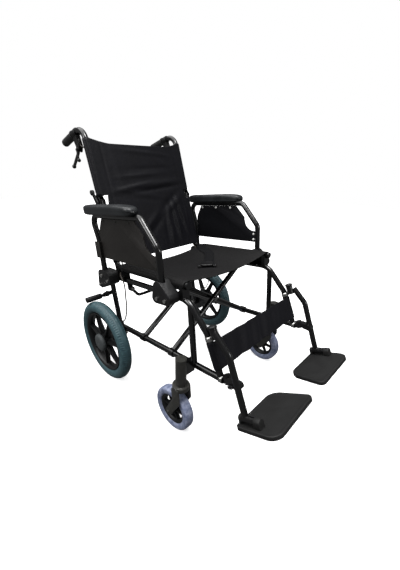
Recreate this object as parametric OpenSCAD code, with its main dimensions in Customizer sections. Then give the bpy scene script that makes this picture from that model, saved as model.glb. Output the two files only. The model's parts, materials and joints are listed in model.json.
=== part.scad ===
/* [Frame] */
// Slope of the whole frame down to the rear, in degrees
rake = 6.5; // [4:0.5:9]
// Distance between the two side frames, centre to centre
frame_w = 424; // [400:2:460]
// Outer diameter of the frame tubes
tube_d = 20; // [18:0.5:22]
// Height of the lower rail
low_w = 195; // [190:1:200]
// Height of the upper rail above the lower rail
rail_rise = 211; // [200:1:222]
// Position of the front post along the rails
post_v = -440; // [-448:1:-432]
// Position of the front end of the lower rail
toe_v = -556; // [-562:1:-552]
// Open rear end of the lower rail, where a tipping tube plugs in
tip_v = 70; // [60:1:80]
// Bore of that open end
tip_bore = 15; // [13:0.5:16]
// Depth of that bore
tip_depth = 55; // [40:1:58]

/* [Back] */
// Lean of the back canes against the frame, in degrees
lean = 11.4; // [8:0.2:14]
// Distance from the side frame inward to its back cane
cane_in = 6; // [4:0.5:7]
// Height of the half-fold hinge
hinge_w = 694; // [685:1:705]
// Length of the upper cane, from the hinge up to the handle corner
upper_len = 234.5; // [225:0.5:245]
// Length of the push handle
handle_len = 160; // [150:1:180]
// Bend radius of the push handle
handle_bend = 45; // [40:1:50]
// Diameter of the hand grip
grip_d = 28; // [26:0.5:34]
// Length of the hand grip
grip_len = 82; // [76:1:90]
// Thickness of the back fabric
back_t = 4; // [3:0.5:5]

/* [Seat and cross braces] */
// Height of the seat rails above the lower rail
seat_rise = 255; // [250:1:262]
// Front end of the seat rails
seat_front_v = -438; // [-446:1:-434]
// Diameter of the brace tubes
brace_d = 20; // [18:0.5:21]
// Place of the front tube of the first brace
brace_front_v = -336; // [-340:1:-330]
// Place of the rear tube of the first brace
brace_rear_v = -176; // [-182:1:-172]
// Sag of the seat fabric in the middle
seat_sag = 22; // [10:1:30]
// Thickness of the seat fabric
seat_t = 5; // [3:0.5:6]

/* [Armrests] */
// Distance from the side frame outward to the armrest tube
arm_out = 34; // [33:0.5:37]
// Place of the rear pivot of the armrest along the rails
arm_pivot_v = -25; // [-28:1:-22]
// Height of that pivot
arm_pivot_w = 420; // [418:1:424]
// Height of the armrest tube under the pad
arm_w = 636; // [625:1:645]
// Length of the arm pad
pad_len = 290; // [275:1:315]
// Width of the arm pad
pad_w = 50; // [44:1:52]
// Height of the arm pad
pad_h = 34; // [28:1:38]
// Thickness of the side panel
panel_t = 4; // [3:0.5:6]

/* [Rear wheels] */
// Radius of the rear tyres
rear_r = 160; // [155:1:163]
// Width of the rear tyres
rear_tyre_w = 44; // [38:1:48]
// Distance from the side frame outward to the wheel centre
rear_out = 75; // [73:0.5:80]
// Radius of the rims
rim_r = 118; // [112:1:122]
// Number of spokes in a rear wheel
rear_spokes = 7; // [5:1:8]
// Diameter of the rear axle
axle_d = 12; // [10:0.5:14]

/* [Casters] */
// Radius of the front casters
caster_r = 76; // [74:1:82]
// Width of the caster tyres
caster_w = 34; // [28:1:36]
// Distance from the side frame outward to the caster stem
stem_out = 50; // [48:0.5:54]
// Distance from the rear axle forward to the caster stem
stem_y = 408; // [402:1:420]
// Trail of the caster axle behind its stem
trail = 30; // [22:1:38]
// Number of spokes in a caster wheel
caster_spokes = 6; // [5:1:8]
// Diameter of the caster stem
stem_d = 12; // [10:0.5:14]

/* [Footrests] */
// Diameter of the hanger tubes
hanger_d = 19; // [17:0.5:20]
// Reach of a footplate inward from its hinge
plate_len = 168; // [150:1:172]
// Depth of a footplate at its inner end
plate_depth = 98; // [88:1:106]
// Thickness of a footplate
plate_t = 13; // [10:0.5:15]
// Drop of the footplate surface below its hinge
plate_drop = 14; // [13.5:0.5:16]

/* [Hidden] */
$fn = 48;

frame_black = [0.07, 0.07, 0.075];
cloth_black = [0.10, 0.10, 0.11];
plastic_black = [0.13, 0.13, 0.13];
pad_grey = [0.20, 0.21, 0.22];
steel = [0.75, 0.75, 0.76];
rear_rubber = [0.27, 0.38, 0.42];
caster_rubber = [0.42, 0.46, 0.58];

// Running clearances, on the radius
fit = 0.05;
gap = 0.3;
eps = 0.01;

// The rear axle lies this far behind the origin, which is the middle of the floor area
rear_axle_y = 210.6;
tube_r = tube_d / 2;
// Rails and posts that meet are a little different in size
rail_d = tube_d - 0.5;
post_d = tube_d - 1;
frame_x = frame_w / 2;
up_w = low_w + rail_rise;
seat_w = low_w + seat_rise;
cane_x = frame_x - cane_in;
arm_x = frame_x + arm_out;
wheel_x = frame_x + rear_out;
stem_x = frame_x + stem_out;

// A point of the raked frame, given as across, along the rails and above them, in the chair's own axes
function raked_pt(p) = [p[0], rear_axle_y + p[1] * cos(rake) + p[2] * sin(rake), -p[1] * sin(rake) + p[2] * cos(rake)];
function to_raked(p) = [p[0], (p[1] - rear_axle_y) * cos(rake) - p[2] * sin(rake), (p[1] - rear_axle_y) * sin(rake) + p[2] * cos(rake)];
function len3(v) = sqrt(v * v);
function unit(v) = v / len3(v);
function line_x(a, b, t) = a + (b - a) * t;

module raked() translate([0, rear_axle_y, 0]) rotate([-rake, 0, 0]) children();
// The back's own axes: origin at the half-fold hinge, Z up along the canes, Y out behind them
hinge_v = arm_pivot_v - 36.4 + (hinge_w - up_w) * tan(lean);
module on_back() raked() translate([0, hinge_v, hinge_w]) rotate([-lean, 0, 0]) children();
module right_side() mirror([1, 0, 0]) children();

// Round bar between two points
module bar(a, b, d) {
    n = b - a;
    translate(a) rotate([0, acos(n[2] / len3(n)), atan2(n[1], n[0])]) cylinder(d = d, h = len3(n));
}

// Round tube along a path, with a bend of radius r at each inner point.
// A bend is a hair thicker than the straight runs, which end just inside it.
bend_lip = 0.2;
module bent_tube(p, d, r) {
    last = len(p) - 1;
    function setback(i) = i == 0 || i == last ? 0 :
        let (u = unit(p[i - 1] - p[i]), v = unit(p[i + 1] - p[i])) r / tan(acos(u * v) / 2);
    for (i = [0 : last - 1]) {
        u = unit(p[i + 1] - p[i]);
        bar(p[i] + u * max(setback(i) - 0.6, 0), p[i + 1] - u * max(setback(i + 1) - 0.6, 0), d);
    }
    for (i = [1 : 1 : last - 1]) {
        u = unit(p[i - 1] - p[i]);
        v = unit(p[i + 1] - p[i]);
        inner = acos(u * v);
        centre = p[i] + unit(u + v) * r / sin(inner / 2);
        x = unit(p[i] + u * setback(i) - centre);
        z = cross(x, -u);
        multmatrix([[x[0], -u[0], z[0], centre[0]], [x[1], -u[1], z[1], centre[1]], [x[2], -u[2], z[2], centre[2]], [0, 0, 0, 1]])
            rotate_extrude(angle = 180 - inner) translate([r, 0]) circle(d = d + bend_lip);
    }
}

// Flat link outline between two round ends
module link_shape(a, ra, b, rb) {
    n = b - a;
    d = len3(n);
    t = atan2(n[1], n[0]);
    s = asin((ra - rb) / d);
    qa = ra - 0.02;
    qb = rb - 0.02;
    translate(a) circle(r = ra);
    translate(b) circle(r = rb);
    polygon([a + qa * [cos(t + 90 - s), sin(t + 90 - s)], b + qb * [cos(t + 90 - s), sin(t + 90 - s)],
        b + qb * [cos(t - 90 + s), sin(t - 90 + s)], a + qa * [cos(t - 90 + s), sin(t - 90 + s)]]);
}

// Outline round a ring of circles, given anticlockwise by centre and radius
function edge_angle(a, ra, b, rb) = atan2(b[1] - a[1], b[0] - a[0]) - 90 + asin((ra - rb) / len3(b - a));
function ring_outline(c, r) = let (n = len(c)) [for (i = [0 : n - 1])
    let (j = (i + 1) % n, h = (i + n - 1) % n, a0 = edge_angle(c[h], r[h], c[i], r[i]), a1 = edge_angle(c[i], r[i], c[j], r[j]),
        turn = (a1 - a0 + 720) % 360) for (k = [0 : 9]) c[i] + r[i] * [cos(a0 + turn * k / 9), sin(a0 + turn * k / 9)]];

// Rectangle with rounded corners, centred
module round_rect(w, h, r) {
    square([w - 2 * r, h], center = true);
    square([w, h - 2 * r], center = true);
    for (x = [-1, 1], y = [-1, 1]) translate([x * (w / 2 - r), y * (h / 2 - r)]) circle(r = r);
}

// Turns a drawing in the side plane, along and up, into a plate that starts at x and grows outward
module plate_at(x, t) translate([x, 0, 0]) rotate([90, 0, 90]) linear_extrude(t) children();
module rod_x(x0, x1, v, w, d) translate([x0, v, w]) rotate([0, 90, 0]) cylinder(d = d, h = x1 - x0);
module rod_v(x, v0, v1, w, d) translate([x, v0, w]) rotate([-90, 0, 0]) cylinder(d = d, h = v1 - v0);

// Side frame
knee = [-505, 318];
shoulder = [post_v + 8, up_w];
foot = [-548, low_w];
axle_world = [0, rear_axle_y, rear_r];
axle = to_raked(axle_world);
upright_top = [arm_pivot_v + 27, up_w];
axle_boss_d = 30;
axle_boss_in = frame_x - 12;
axle_boss_out = frame_x + 14;
saddle_front_v = post_v + 22;
saddle_rear_v = -110;
saddle_len = 14;
saddle_w = tube_d + 6;
socket_bolt_d = 6;
rear_bolts = [[arm_pivot_v - 38, up_w], [arm_pivot_v + 22, up_w - 25]];
front_bolts = [[-352, up_w + 2], [-388, up_w + 2]];

// Swing axis of the hangers, parallel to the front tube and in front of it
swing_offset = 25;
swing_tilt = atan2(foot[0] - knee[0], foot[1] - knee[1]) + 180;
swing_dir = unit(foot - knee);
swing_normal = [swing_dir[1], -swing_dir[0]];
swing_top = knee + swing_normal * swing_offset + swing_dir * -8;
pin_d = 10;
barrel_d = 23;
barrel_top_h = 26;
barrel_low_h = 20;
lug_t = 5;
swing_low_drop = (swing_top[1] - low_w - 12) / -swing_dir[1];
swing_low = swing_top + swing_dir * swing_low_drop;
module on_swing(p) translate([frame_x, p[0], p[1]]) rotate([-swing_lean, 0, 0]) children();
swing_lean = atan2(knee[0] - foot[0], knee[1] - foot[1]);

// Casters
stem = [stem_x, rear_axle_y - stem_y, 0];
crown_z = 178;
crown_t = 14;
housing_bottom = crown_z + crown_t + 1;
housing_top = 288;
housing_d = 34;
stem_top = housing_top - 12;
rail_at_stem = raked_pt([frame_x, post_v, low_w]);

link_v = -138;
link_pin_w = low_w + 183.5;
bracket_t = 5;
pivot_pin_d = 8;
lock_pivot_world = [0, rear_axle_y + 38, rear_r + 175];
lock_pivot = to_raked(lock_pivot_world);
lock_pin_d = 8;
lock_x = frame_x + 24.5;

module side_frame() {
    difference() {
        union() {
            raked() {
                bent_tube([[frame_x, upright_top[0] + 7, up_w], [frame_x, shoulder[0], up_w], [frame_x, knee[0], knee[1]], [frame_x, foot[0], foot[1]]], rail_d, 60);
                rod_v(frame_x, toe_v, tip_v, low_w, tube_d);
                bar([frame_x, post_v, low_w], [frame_x, post_v, up_w - 12], post_d);
                bar([frame_x, upright_top[0], upright_top[1]], [frame_x, axle[1], axle[2]], post_d);
                // Open-topped saddles that carry the seat rail
                for (v = [saddle_front_v, saddle_rear_v])
                    translate([frame_x - saddle_w / 2, v - saddle_len / 2, up_w - 2]) cube([saddle_w, saddle_len, seat_w - up_w + 2]);
                // Lugs and pins that the hanger drops on
                on_swing(swing_top) translate([0, 0, -barrel_top_h / 2 - lug_t]) {
                    cylinder(d = barrel_d, h = lug_t);
                    translate([-6, 0, 0]) cube([12, swing_offset, lug_t]);
                    cylinder(d = pin_d, h = lug_t + barrel_top_h + 1);
                }
                on_swing(swing_low) translate([0, 0, -barrel_low_h / 2 - lug_t]) {
                    cylinder(d = barrel_d, h = lug_t);
                    translate([-6, 0, 0]) cube([12, swing_offset, lug_t]);
                    cylinder(d = pin_d, h = lug_t + barrel_low_h + 1);
                }
                // Bracket that holds the folding link
                translate([0, link_v + link_d / 2 + gap, 0]) rotate([90, 0, 0]) mirror([0, 0, 1]) linear_extrude(bracket_t)
                    link_shape([frame_x, up_w - 4], 10, [frame_x, link_pin_w], 9);
                // Boss for the wheel lock pivot
                rod_x(frame_x, lock_x - 1, lock_pivot[1], lock_pivot[2], 16);
            }
            // Axle boss
            rod_x(axle_boss_in, axle_boss_out, axle_world[1], axle_world[2], axle_boss_d);
            // Caster housing with its welded arm
            translate([stem[0], stem[1], housing_bottom]) cylinder(d = housing_d, h = housing_top - housing_bottom);
            translate([frame_x, stem[1] - 8, rail_at_stem[2] - 22]) cube([stem_out, 16, 44]);
            // Wheel lock pin
            rod_x(frame_x, lock_x + 8, lock_pivot_world[1], lock_pivot_world[2], lock_pin_d);
            on_back() lower_cane();
        }
        rod_x(axle_boss_in - 1, axle_boss_out + 1, axle_world[1], axle_world[2], axle_d + 2 * fit);
        translate([stem[0], stem[1], housing_bottom - 1]) cylinder(d = stem_d + 2 * fit, h = stem_top - housing_bottom + 2);
        raked() {
            translate([frame_x, tip_v + 1, low_w]) rotate([90, 0, 0]) cylinder(d = tip_bore, h = tip_depth + 1);
            for (v = [saddle_front_v, saddle_rear_v]) rod_v(frame_x, v - saddle_len, v + saddle_len, seat_w, tube_d + 2 * gap);
            for (b = concat(rear_bolts, front_bolts)) rod_x(frame_x - tube_d, frame_x + tube_d, b[0], b[1], socket_bolt_d + 2 * fit);
            rod_v(frame_x, link_v - 20, link_v + 30, link_pin_w, pivot_pin_d + 2 * fit);
        }
    }
}

// Lower back cane with the ears of its hinge
cane_foot_z = -(hinge_w - up_w) / cos(lean);
hinge_y = 13;
ear_r = 9;
ear_in = 7.2;
ear_t = 3.6;
hinge_pin_d = 8;
module lower_cane() {
    difference() {
        union() {
            bar([cane_x, 0, cane_foot_z], [cane_x, 0, -1], tube_d);
            for (s = [-1, 1]) plate_at(cane_x + (s > 0 ? ear_in : -ear_in - ear_t), ear_t) {
                link_shape([hinge_y, 0], ear_r, [2, -16], ear_r + 2);
                link_shape([2, -16], ear_r + 2, [0, -34], ear_r);
            }
        }
        translate([cane_x - ear_in, -tube_d, -12]) cube([2 * ear_in, 2 * tube_d, 2 * tube_d]);
    }
    rod_x(cane_x - ear_in - ear_t - 1.5, cane_x + ear_in + ear_t + 1.5, hinge_y, 0, hinge_pin_d);
    rod_x(cane_x, release_x + release_t + 2, release_pivot[0], release_pivot[1], release_pin_d);
}

// Rear socket: carries the armrest pivot and ties rail, cane and upright
socket_in = frame_x + tube_r + 0.1;
cheek_t = 5;
slot_w = tube_d + 2;
socket_out = arm_x + slot_w / 2 + cheek_t;
rear_socket_v = [arm_pivot_v - 54, arm_pivot_v + 34];
arm_pin_d = 8;
module rear_socket() raked() difference() {
    plate_at(socket_in, socket_out - socket_in)
        polygon(ring_outline([[rear_socket_v[0] + 16, arm_pivot_w - 14], [rear_socket_v[1] - 20, arm_pivot_w - 30],
            [arm_pivot_v + 6, arm_pivot_w + 2], [rear_socket_v[0] + 16, arm_pivot_w + 4]], [16, 20, 20, 16]));
    // Slot for the armrest's rear post, open above and behind
    translate([arm_x - slot_w / 2, arm_pivot_v - tube_r - 1, arm_pivot_w - tube_r - 4]) cube([slot_w, 90, 80]);
    rod_x(socket_in - 1, socket_out + 1, arm_pivot_v, arm_pivot_w, arm_pin_d + 2 * fit);
    for (b = rear_bolts) rod_x(socket_in - 1, socket_out + 1, b[0], b[1], socket_bolt_d + 2 * fit);
}

// Front socket: takes the armrest's front tube from above
front_tube_v = -361;
front_tube_low = up_w + 12;
front_socket_top = up_w + 56;
socket_play = 2;
module front_socket() raked() difference() {
    plate_at(socket_in, socket_out - socket_in)
        polygon(ring_outline([[front_bolts[0][0] + 8, up_w + 2], [front_tube_v + 3, front_socket_top - 20], [front_bolts[1][0] - 2, up_w + 8]], [16, 20, 20]));
    // The tube leaves this bore on an arc round the rear pivot, so the play is larger behind it
    translate([arm_x, front_tube_v + 1, front_tube_low - 1]) cylinder(d = tube_d + 2 * socket_play, h = 80);
    for (b = front_bolts) rod_x(socket_in - 1, socket_out + 1, b[0], b[1], socket_bolt_d + 2 * fit);
}

// Bright bolts, pins and nuts of one side frame
hub_out = wheel_x + 26;
head_h = 4;
module frame_bolts() {
    difference() {
        union() {
            rod_x(axle_boss_in - 8, hub_out + 1, axle_world[1], axle_world[2], axle_d);
            rod_x(hub_out + 0.5, hub_out + 6, axle_world[1], axle_world[2], axle_d + 10);
        }
    }
    rod_hex(axle_boss_in - 7.5, axle_boss_in - 0.1, axle_world[1], axle_world[2], axle_d + 10);
    raked() {
        for (b = concat(rear_bolts, front_bolts)) {
            rod_x(frame_x - tube_r, socket_out + 0.1, b[0], b[1], socket_bolt_d);
            rod_x(socket_out + 0.05, socket_out + head_h, b[0], b[1], socket_bolt_d + 5);
        }
        rod_x(socket_in, socket_out + 0.1, arm_pivot_v, arm_pivot_w, arm_pin_d);
        rod_x(socket_out + 0.05, socket_out + head_h, arm_pivot_v, arm_pivot_w, arm_pin_d + 5);
        rod_v(frame_x, link_v - link_d / 2 - 1, link_v + link_d / 2 + gap + bracket_t + 1, link_pin_w, pivot_pin_d);
        rod_v(frame_x, link_v - link_d / 2 - gap - 3, link_v - link_d / 2 - gap, link_pin_w, pivot_pin_d + 5);
        rod_v(frame_x, link_v + link_d / 2 + gap + bracket_t + 0.1, link_v + link_d / 2 + gap + bracket_t + 4, link_pin_w, pivot_pin_d + 5);
    }
}
module rod_hex(x0, x1, v, w, d) translate([x0, v, w]) rotate([0, 90, 0]) cylinder(d = d, h = x1 - x0, $fn = 6);

// Band brake inside the rear wheel, fixed to the axle boss
drum_in = axle_boss_out + 0.1;
drum_out = wheel_x - 27;
drum_r = 39;
cable_stop = [-66, 232];
module rear_brake() difference() {
    union() {
        translate([0, axle_world[1], axle_world[2]]) {
            rod_x(drum_in, drum_in + 5, 0, 0, 2 * drum_r + 6);
            rod_x(drum_in + 4, drum_out, 0, 0, 2 * drum_r);
        }
        raked() {
            plate_at(drum_in + 0.5, 4) link_shape([axle[1], axle[2]], 24, cable_stop + [3, -6], 8);
            translate([cable_x, cable_stop[0], cable_stop[1]]) rotate([48, 0, 0]) translate([0, 0, -11]) cylinder(d = 9, h = 11);
        }
    }
    rod_x(drum_in - 1, drum_out + 1, axle_world[1], axle_world[2], axle_d + 2 * fit);
}

// Brake cable: swept along its route, eight-sided
cable_d = 5;
cable_x = drum_in + 2.5;
function smooth_path(p, n) = [for (i = [0 : len(p) - 2], k = [0 : n - 1])
    let (a = p[max(i - 1, 0)], b = p[i], c = p[i + 1], d = p[min(i + 2, len(p) - 1)], t = k / n)
    0.5 * ((2 * b) + (c - a) * t + (2 * a - 5 * b + 4 * c - d) * t * t + (3 * b - a - 3 * c + d) * t * t * t),
    p[len(p) - 1]];
module cable(p, d) {
    q = smooth_path(p, 4);
    n = len(q);
    s = 8;
    points = [for (i = [0 : n - 1])
        let (t = unit(q[min(i + 1, n - 1)] - q[max(i - 1, 0)]), a = unit(cross(t, [0.95, 0.2, 0.24])), b = cross(t, a))
        for (k = [0 : s - 1]) q[i] + d / 2 * (a * cos(360 * k / s) + b * sin(360 * k / s))];
    sides = [for (i = [0 : n - 2], k = [0 : s - 1]) let (m = (k + 1) % s)
        [i * s + k, (i + 1) * s + k, (i + 1) * s + m, i * s + m]];
    polyhedron(points, concat([[for (k = [0 : s - 1]) k]], sides, [[for (k = [s - 1 : -1 : 0]) (n - 1) * s + k]]), convexity = 4);
}
// From the cable stop up over the upper rail and along the back of the cane
low_cable = [[cable_x, cable_stop[0] - 1.8, cable_stop[1] + 1.7], [cable_x, -87, 249], [cable_x, -104, 281], [cable_x, -113, 316], [cable_x, -115, 345], [cable_x, -119, 380],
    [229, -116, 405], [228, -104, 420], [222, -91, 428], [208, -80, 433], [194, -67, 442], [188, -50, 470], [187, -34, 520], [187, -10, 610], [187, 6, 680]];
module brake_cable() raked() cable(low_cable, cable_d);
high_cable = [[187, 16, 6], [188, 17, 50], [190, 18, 110], [195, 22, 160], [201, 36, 178], [cane_x, 46, 187], [cane_x, 46, upper_len - 38]];
module upper_cable() on_back() cable(high_cable, cable_d);

// Upper cane with its push handle
tongue_w = 2 * ear_in - 1;
module upper_cane() on_back() difference() {
    union() {
        bent_tube([[cane_x, 0, 12], [cane_x, 0, upper_len], [cane_x, handle_len, upper_len]], tube_d, handle_bend);
        bar([cane_x, 0, 12], [cane_x, 0, 34], tube_d + 0.4);
        plate_at(cane_x - tongue_w / 2, tongue_w) {
            link_shape([hinge_y, 0], ear_r, [2, 14], tube_r);
            link_shape([2, 14], tube_r, [0, 24], tube_r);
            link_shape([hinge_y, 0], ear_r, [-2, 4], 6.5);
        }
    }
    rod_x(cane_x - 20, cane_x + 20, hinge_y, 0, hinge_pin_d + 2 * fit);
}

// Hand grip with its closed end
grip_from = handle_len - grip_len;
grip_wall = 3;
module grip() on_back() difference() {
    union() {
        rod_v(cane_x, grip_from, handle_len + grip_wall, upper_len, grip_d);
        rod_v(cane_x, grip_from, grip_from + 5, upper_len, grip_d + 4);
    }
    rod_v(cane_x, grip_from - 1, handle_len + 0.2, upper_len, tube_d + 2 * fit);
}

// Clamp that carries the brake lever under the handle
clamp_from = handle_bend + 4;
clamp_len = grip_from - clamp_from - 1;
lever_pivot = [clamp_from + 8, upper_len - 44];
latch_pivot = [clamp_from + 14, upper_len - 56];
lever_pin_d = 5;
fork_in = 4;
module lever_clamp() on_back() difference() {
    union() {
        rod_v(cane_x, clamp_from, clamp_from + clamp_len, upper_len, tube_d + 8);
        for (s = [-1, 1]) plate_at(cane_x + (s > 0 ? fork_in : -fork_in - 4), 4) {
            link_shape([clamp_from + 14, upper_len - 14], 14, lever_pivot, 11);
            link_shape(lever_pivot, 11, latch_pivot, 8);
        }
        translate([cane_x - fork_in - 1, clamp_from - 3, upper_len - 34]) cube([2 * fork_in + 2, 27, 22]);
        translate([cane_x, 46, upper_len - 37]) cylinder(d = 10, h = 12);
        rod_x(cane_x - fork_in - 5.5, cane_x + fork_in + 4, lever_pivot[0], lever_pivot[1], lever_pin_d);
        rod_x(cane_x + fork_in + 1, latch_x0 + latch_t + 2, latch_pivot[0], latch_pivot[1], lever_pin_d);
        rod_x(latch_x0 + latch_t + gap, latch_x0 + latch_t + 2, latch_pivot[0], latch_pivot[1], lever_pin_d + 4);
    }
    rod_v(cane_x, clamp_from - 1, clamp_from + clamp_len + 1, upper_len, tube_d + 2 * fit);
}

// Brake lever: a curved blade with a ball end
lever_blade = 2 * fork_in - 0.8;
lever_elbow = [87, upper_len - 66];
lever_tip = [140, upper_len - 91];
module brake_lever() on_back() difference() {
    union() {
        plate_at(cane_x - lever_blade / 2, lever_blade) {
            link_shape(lever_pivot, 7, lever_elbow, 4.5);
            link_shape(lever_elbow, 4.5, lever_tip, 4);
        }
        translate([cane_x, lever_tip[0], lever_tip[1]]) sphere(r = 7.5);
    }
    rod_x(cane_x - 9, cane_x + 9, lever_pivot[0], lever_pivot[1], lever_pin_d + 2 * fit);
}

// Parking latch: a short stalk with a ball end, on the outer cheek of the clamp
latch_x0 = cane_x + fork_in + 4 + gap;
latch_t = 3;
latch_tip = [68, upper_len - 90];
module park_latch() on_back() difference() {
    union() {
        plate_at(latch_x0, latch_t) link_shape(latch_pivot, 6.5, latch_tip, 3);
        translate([latch_x0 + latch_t / 2, latch_tip[0], latch_tip[1]]) sphere(r = 6.5);
    }
    rod_x(latch_x0 - 1, latch_x0 + latch_t + 1, latch_pivot[0], latch_pivot[1], lever_pin_d + 2 * fit);
}

// Release lever of the half-fold hinge, outboard of the ears
release_x = cane_x + tube_r + 4;
release_t = 5;
release_pivot = [3, -18];
release_pin_d = 6;
release_knob = [18, 19];
module back_release() on_back() difference() {
    union() {
        plate_at(release_x, release_t) {
            link_shape(release_pivot, 8, release_knob, 7);
        }
        rod_x(release_x - 1, release_x + release_t + 3, release_knob[0], release_knob[1], 19);
    }
    rod_x(release_x - 2, release_x + 12, release_pivot[0], release_pivot[1], release_pin_d + 2 * fit);
}

// Back fabric above the hinge, with a dip in its top hem
fabric_y = -tube_r - gap - back_t;
back_half = cane_x + 8;
back_top = 193;
back_dip = 16;
module back_upper() on_back() translate([0, fabric_y + back_t, 0]) rotate([90, 0, 0]) linear_extrude(back_t)
    polygon([[-back_half, 13], [back_half, 13], [back_half, back_top], [back_half - 22, back_top],
        [back_half - 82, back_top - back_dip], [-back_half + 82, back_top - back_dip], [-back_half + 22, back_top], [-back_half, back_top]]);

// Back fabric below the hinge, cut away beside the hinge
back_bottom = -236;
module back_lower() on_back() translate([0, fabric_y + back_t, 0]) rotate([90, 0, 0]) linear_extrude(back_t)
    polygon([[-back_half, back_bottom], [back_half, back_bottom], [back_half, -36], [back_half - 27, -34], [back_half - 27, 10],
        [-back_half + 27, 10], [-back_half + 27, -34], [-back_half, -36]]);

// Seat fabric: an arc hung between the seat rails
seat_half = frame_x - 4;
sag_r = (seat_half * seat_half + seat_sag * seat_sag) / (2 * seat_sag);
seat_top = seat_w + tube_r + gap;
seat_rear_v = arm_pivot_v - 72;
seat_cloth_front = seat_front_v + 8;
// An arc of thickness t, lifted off the underside of the seat
module seat_arc(x_half, v0, v1, lift, t) translate([0, v1, 0]) rotate([90, 0, 0]) linear_extrude(v1 - v0) intersection() {
    translate([0, seat_top + sag_r - seat_sag]) difference() {
        circle(r = sag_r - lift, $fn = 360);
        circle(r = sag_r - lift - t, $fn = 360);
    }
    translate([-x_half, seat_top - seat_sag - 1]) square([2 * x_half, seat_sag + 30]);
}
module seat_sling() {
    raked() seat_arc(seat_half - tube_r - 1, seat_cloth_front, seat_rear_v, 0, seat_t);
    raked() for (s = [-1, 1])
        translate([s * (frame_x - 4) - 13, seat_cloth_front, seat_top]) cube([26, seat_rear_v - seat_cloth_front, seat_t - 1]);
}

// Strap behind the calves, on the front tubes
strap_top = 300;
strap_low = 222;
strap_t = 3;
module calf_strap() raked() translate([0, knee[0], knee[1]]) rotate([-swing_lean, 0, 0])
    translate([-frame_x - 8, -tube_r - gap - strap_t, (strap_low - knee[1]) / cos(swing_lean)])
        cube([frame_w + 16, strap_t, (strap_top - strap_low) / cos(swing_lean)]);

// Lap belt laid across the seat, with its buckle
belt_t = 3;
belt_plan = [[190, -122], [150, -110], [100, -190], [-42, -322], [-14, -352], [148, -236]];
buckle = [-8, -320];
module lap_belt() raked() {
    intersection() {
        seat_arc(seat_half - tube_r - 6, seat_cloth_front, seat_rear_v, seat_t + gap, belt_t);
        translate([0, 0, seat_top - seat_sag - 5]) linear_extrude(seat_sag + 20) polygon(belt_plan);
    }
    translate([buckle[0], buckle[1], seat_top - seat_sag + seat_t + gap + 0.5]) rotate([0, 0, 43]) translate([-28, -24, 0]) cube([56, 48, 9]);
}

// Cross braces: two tubes, sleeves on the lower rail and a seat rail
brace_shift = brace_d + 1.2;
sleeve_d = tube_d + 7;
sleeve_len = 20.6;
brace_half = seat_rise / 2;
seat_rail_end = arm_pivot_v - 41;
// low_side is -1 where the brace stands on the right-hand frame and +1 where it stands on the left-hand one
module brace(low_side, shift, pin_play) raked() difference() {
    union() {
        for (v = [brace_front_v, brace_rear_v]) {
            bar([low_side * frame_x, v + shift, low_w], [-low_side * frame_x, v + shift, seat_w], brace_d);
            rod_v(low_side * frame_x, v + shift - sleeve_len / 2, v + shift + sleeve_len / 2, low_w, sleeve_d);
        }
        rod_v(-low_side * frame_x, seat_front_v, seat_rail_end, seat_w, tube_d);
        // Stub that the folding link meets
        translate([-low_side * link_end[0], 0, link_end[1]]) rod_v(0, brace_rear_v + shift, link_v - link_d / 2 - gap, 0, 9);
    }
    rod_v(low_side * frame_x, seat_front_v - 50, 0, low_w, tube_d + 2 * fit);
    rod_v(0, seat_front_v, 0, low_w + brace_half, brace_pin_d + 2 * pin_play);
}
brace_pin_d = 8;
module brace_bolts() raked() for (v = [brace_front_v, brace_rear_v]) {
    rod_v(0, v - brace_d / 2 - 3, v + brace_shift + brace_d / 2 + 3, low_w + brace_half, brace_pin_d);
    for (w = [v - brace_d / 2 - 6, v + brace_shift + brace_d / 2 + 1.5])
        rod_v(0, w, w + 4.5, low_w + brace_half, brace_pin_d + 6);
}

// Folding link between side frame and brace, bowed downward
link_d = 12;
brace_len = sqrt(frame_w * frame_w + seat_rise * seat_rise);
brace_angle = atan2(seat_rise, frame_w);
// Distance from the brace's upper end at which its distance from the link pin is the same open and folded
link_t0 = 164.9;
link_end = [frame_x - link_t0 * cos(brace_angle), seat_w - link_t0 * sin(brace_angle)];
module fold_link() raked() {
    p0 = [frame_x - 3, link_v, link_pin_w - 4];
    p1 = [frame_x - 24, link_v, link_pin_w - 31];
    p2 = [link_end[0] + 26, link_v, link_end[1] - 19];
    difference() {
        union() {
            bent_tube([p0, p1, p2, [link_end[0], link_v, link_end[1]]], link_d - 1, 18);
            rod_v(frame_x, link_v - link_d / 2, link_v + link_d / 2, link_pin_w, 18);
            rod_v(link_end[0], link_v - link_d / 2, link_v + link_d / 2, link_end[1], 16);
        }
        rod_v(frame_x, link_v - 20, link_v + 20, link_pin_w, pivot_pin_d + 2 * fit);
    }
}

// Armrest tube, in one plane
arm_path = [[arm_pivot_v, arm_pivot_w], [arm_pivot_v, 540], [4, arm_w], [-290, arm_w], [front_tube_v, arm_w - 85], [front_tube_v, front_tube_low + 0.5]];
module arm_frame() raked() difference() {
    union() {
        bent_tube([for (p = arm_path) [arm_x, p[0], p[1]]], tube_d, 30);
        rod_x(arm_x - tube_r + 0.1, arm_x + tube_r - 0.1, arm_pivot_v, arm_pivot_w, tube_d + 1);
    }
    rod_x(arm_x - 20, arm_x + 20, arm_pivot_v, arm_pivot_w, arm_pin_d + 2 * fit);
}

// Moulded arm pad, grooved on the tube
pad_rear_v = 12;
pad_x = arm_x + 9;
module arm_pad() raked() difference() {
    translate([pad_x, pad_rear_v - pad_len / 2, arm_w + 3]) {
        linear_extrude(pad_h - 5) round_rect(pad_w, pad_len, 22);
        translate([0, 0, pad_h - 5 - eps]) linear_extrude(5) round_rect(pad_w - 8, pad_len - 8, 19);
    }
    bent_tube([for (p = arm_path) [arm_x, p[0], p[1]]], tube_d + 2 * gap, 30);
}

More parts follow.
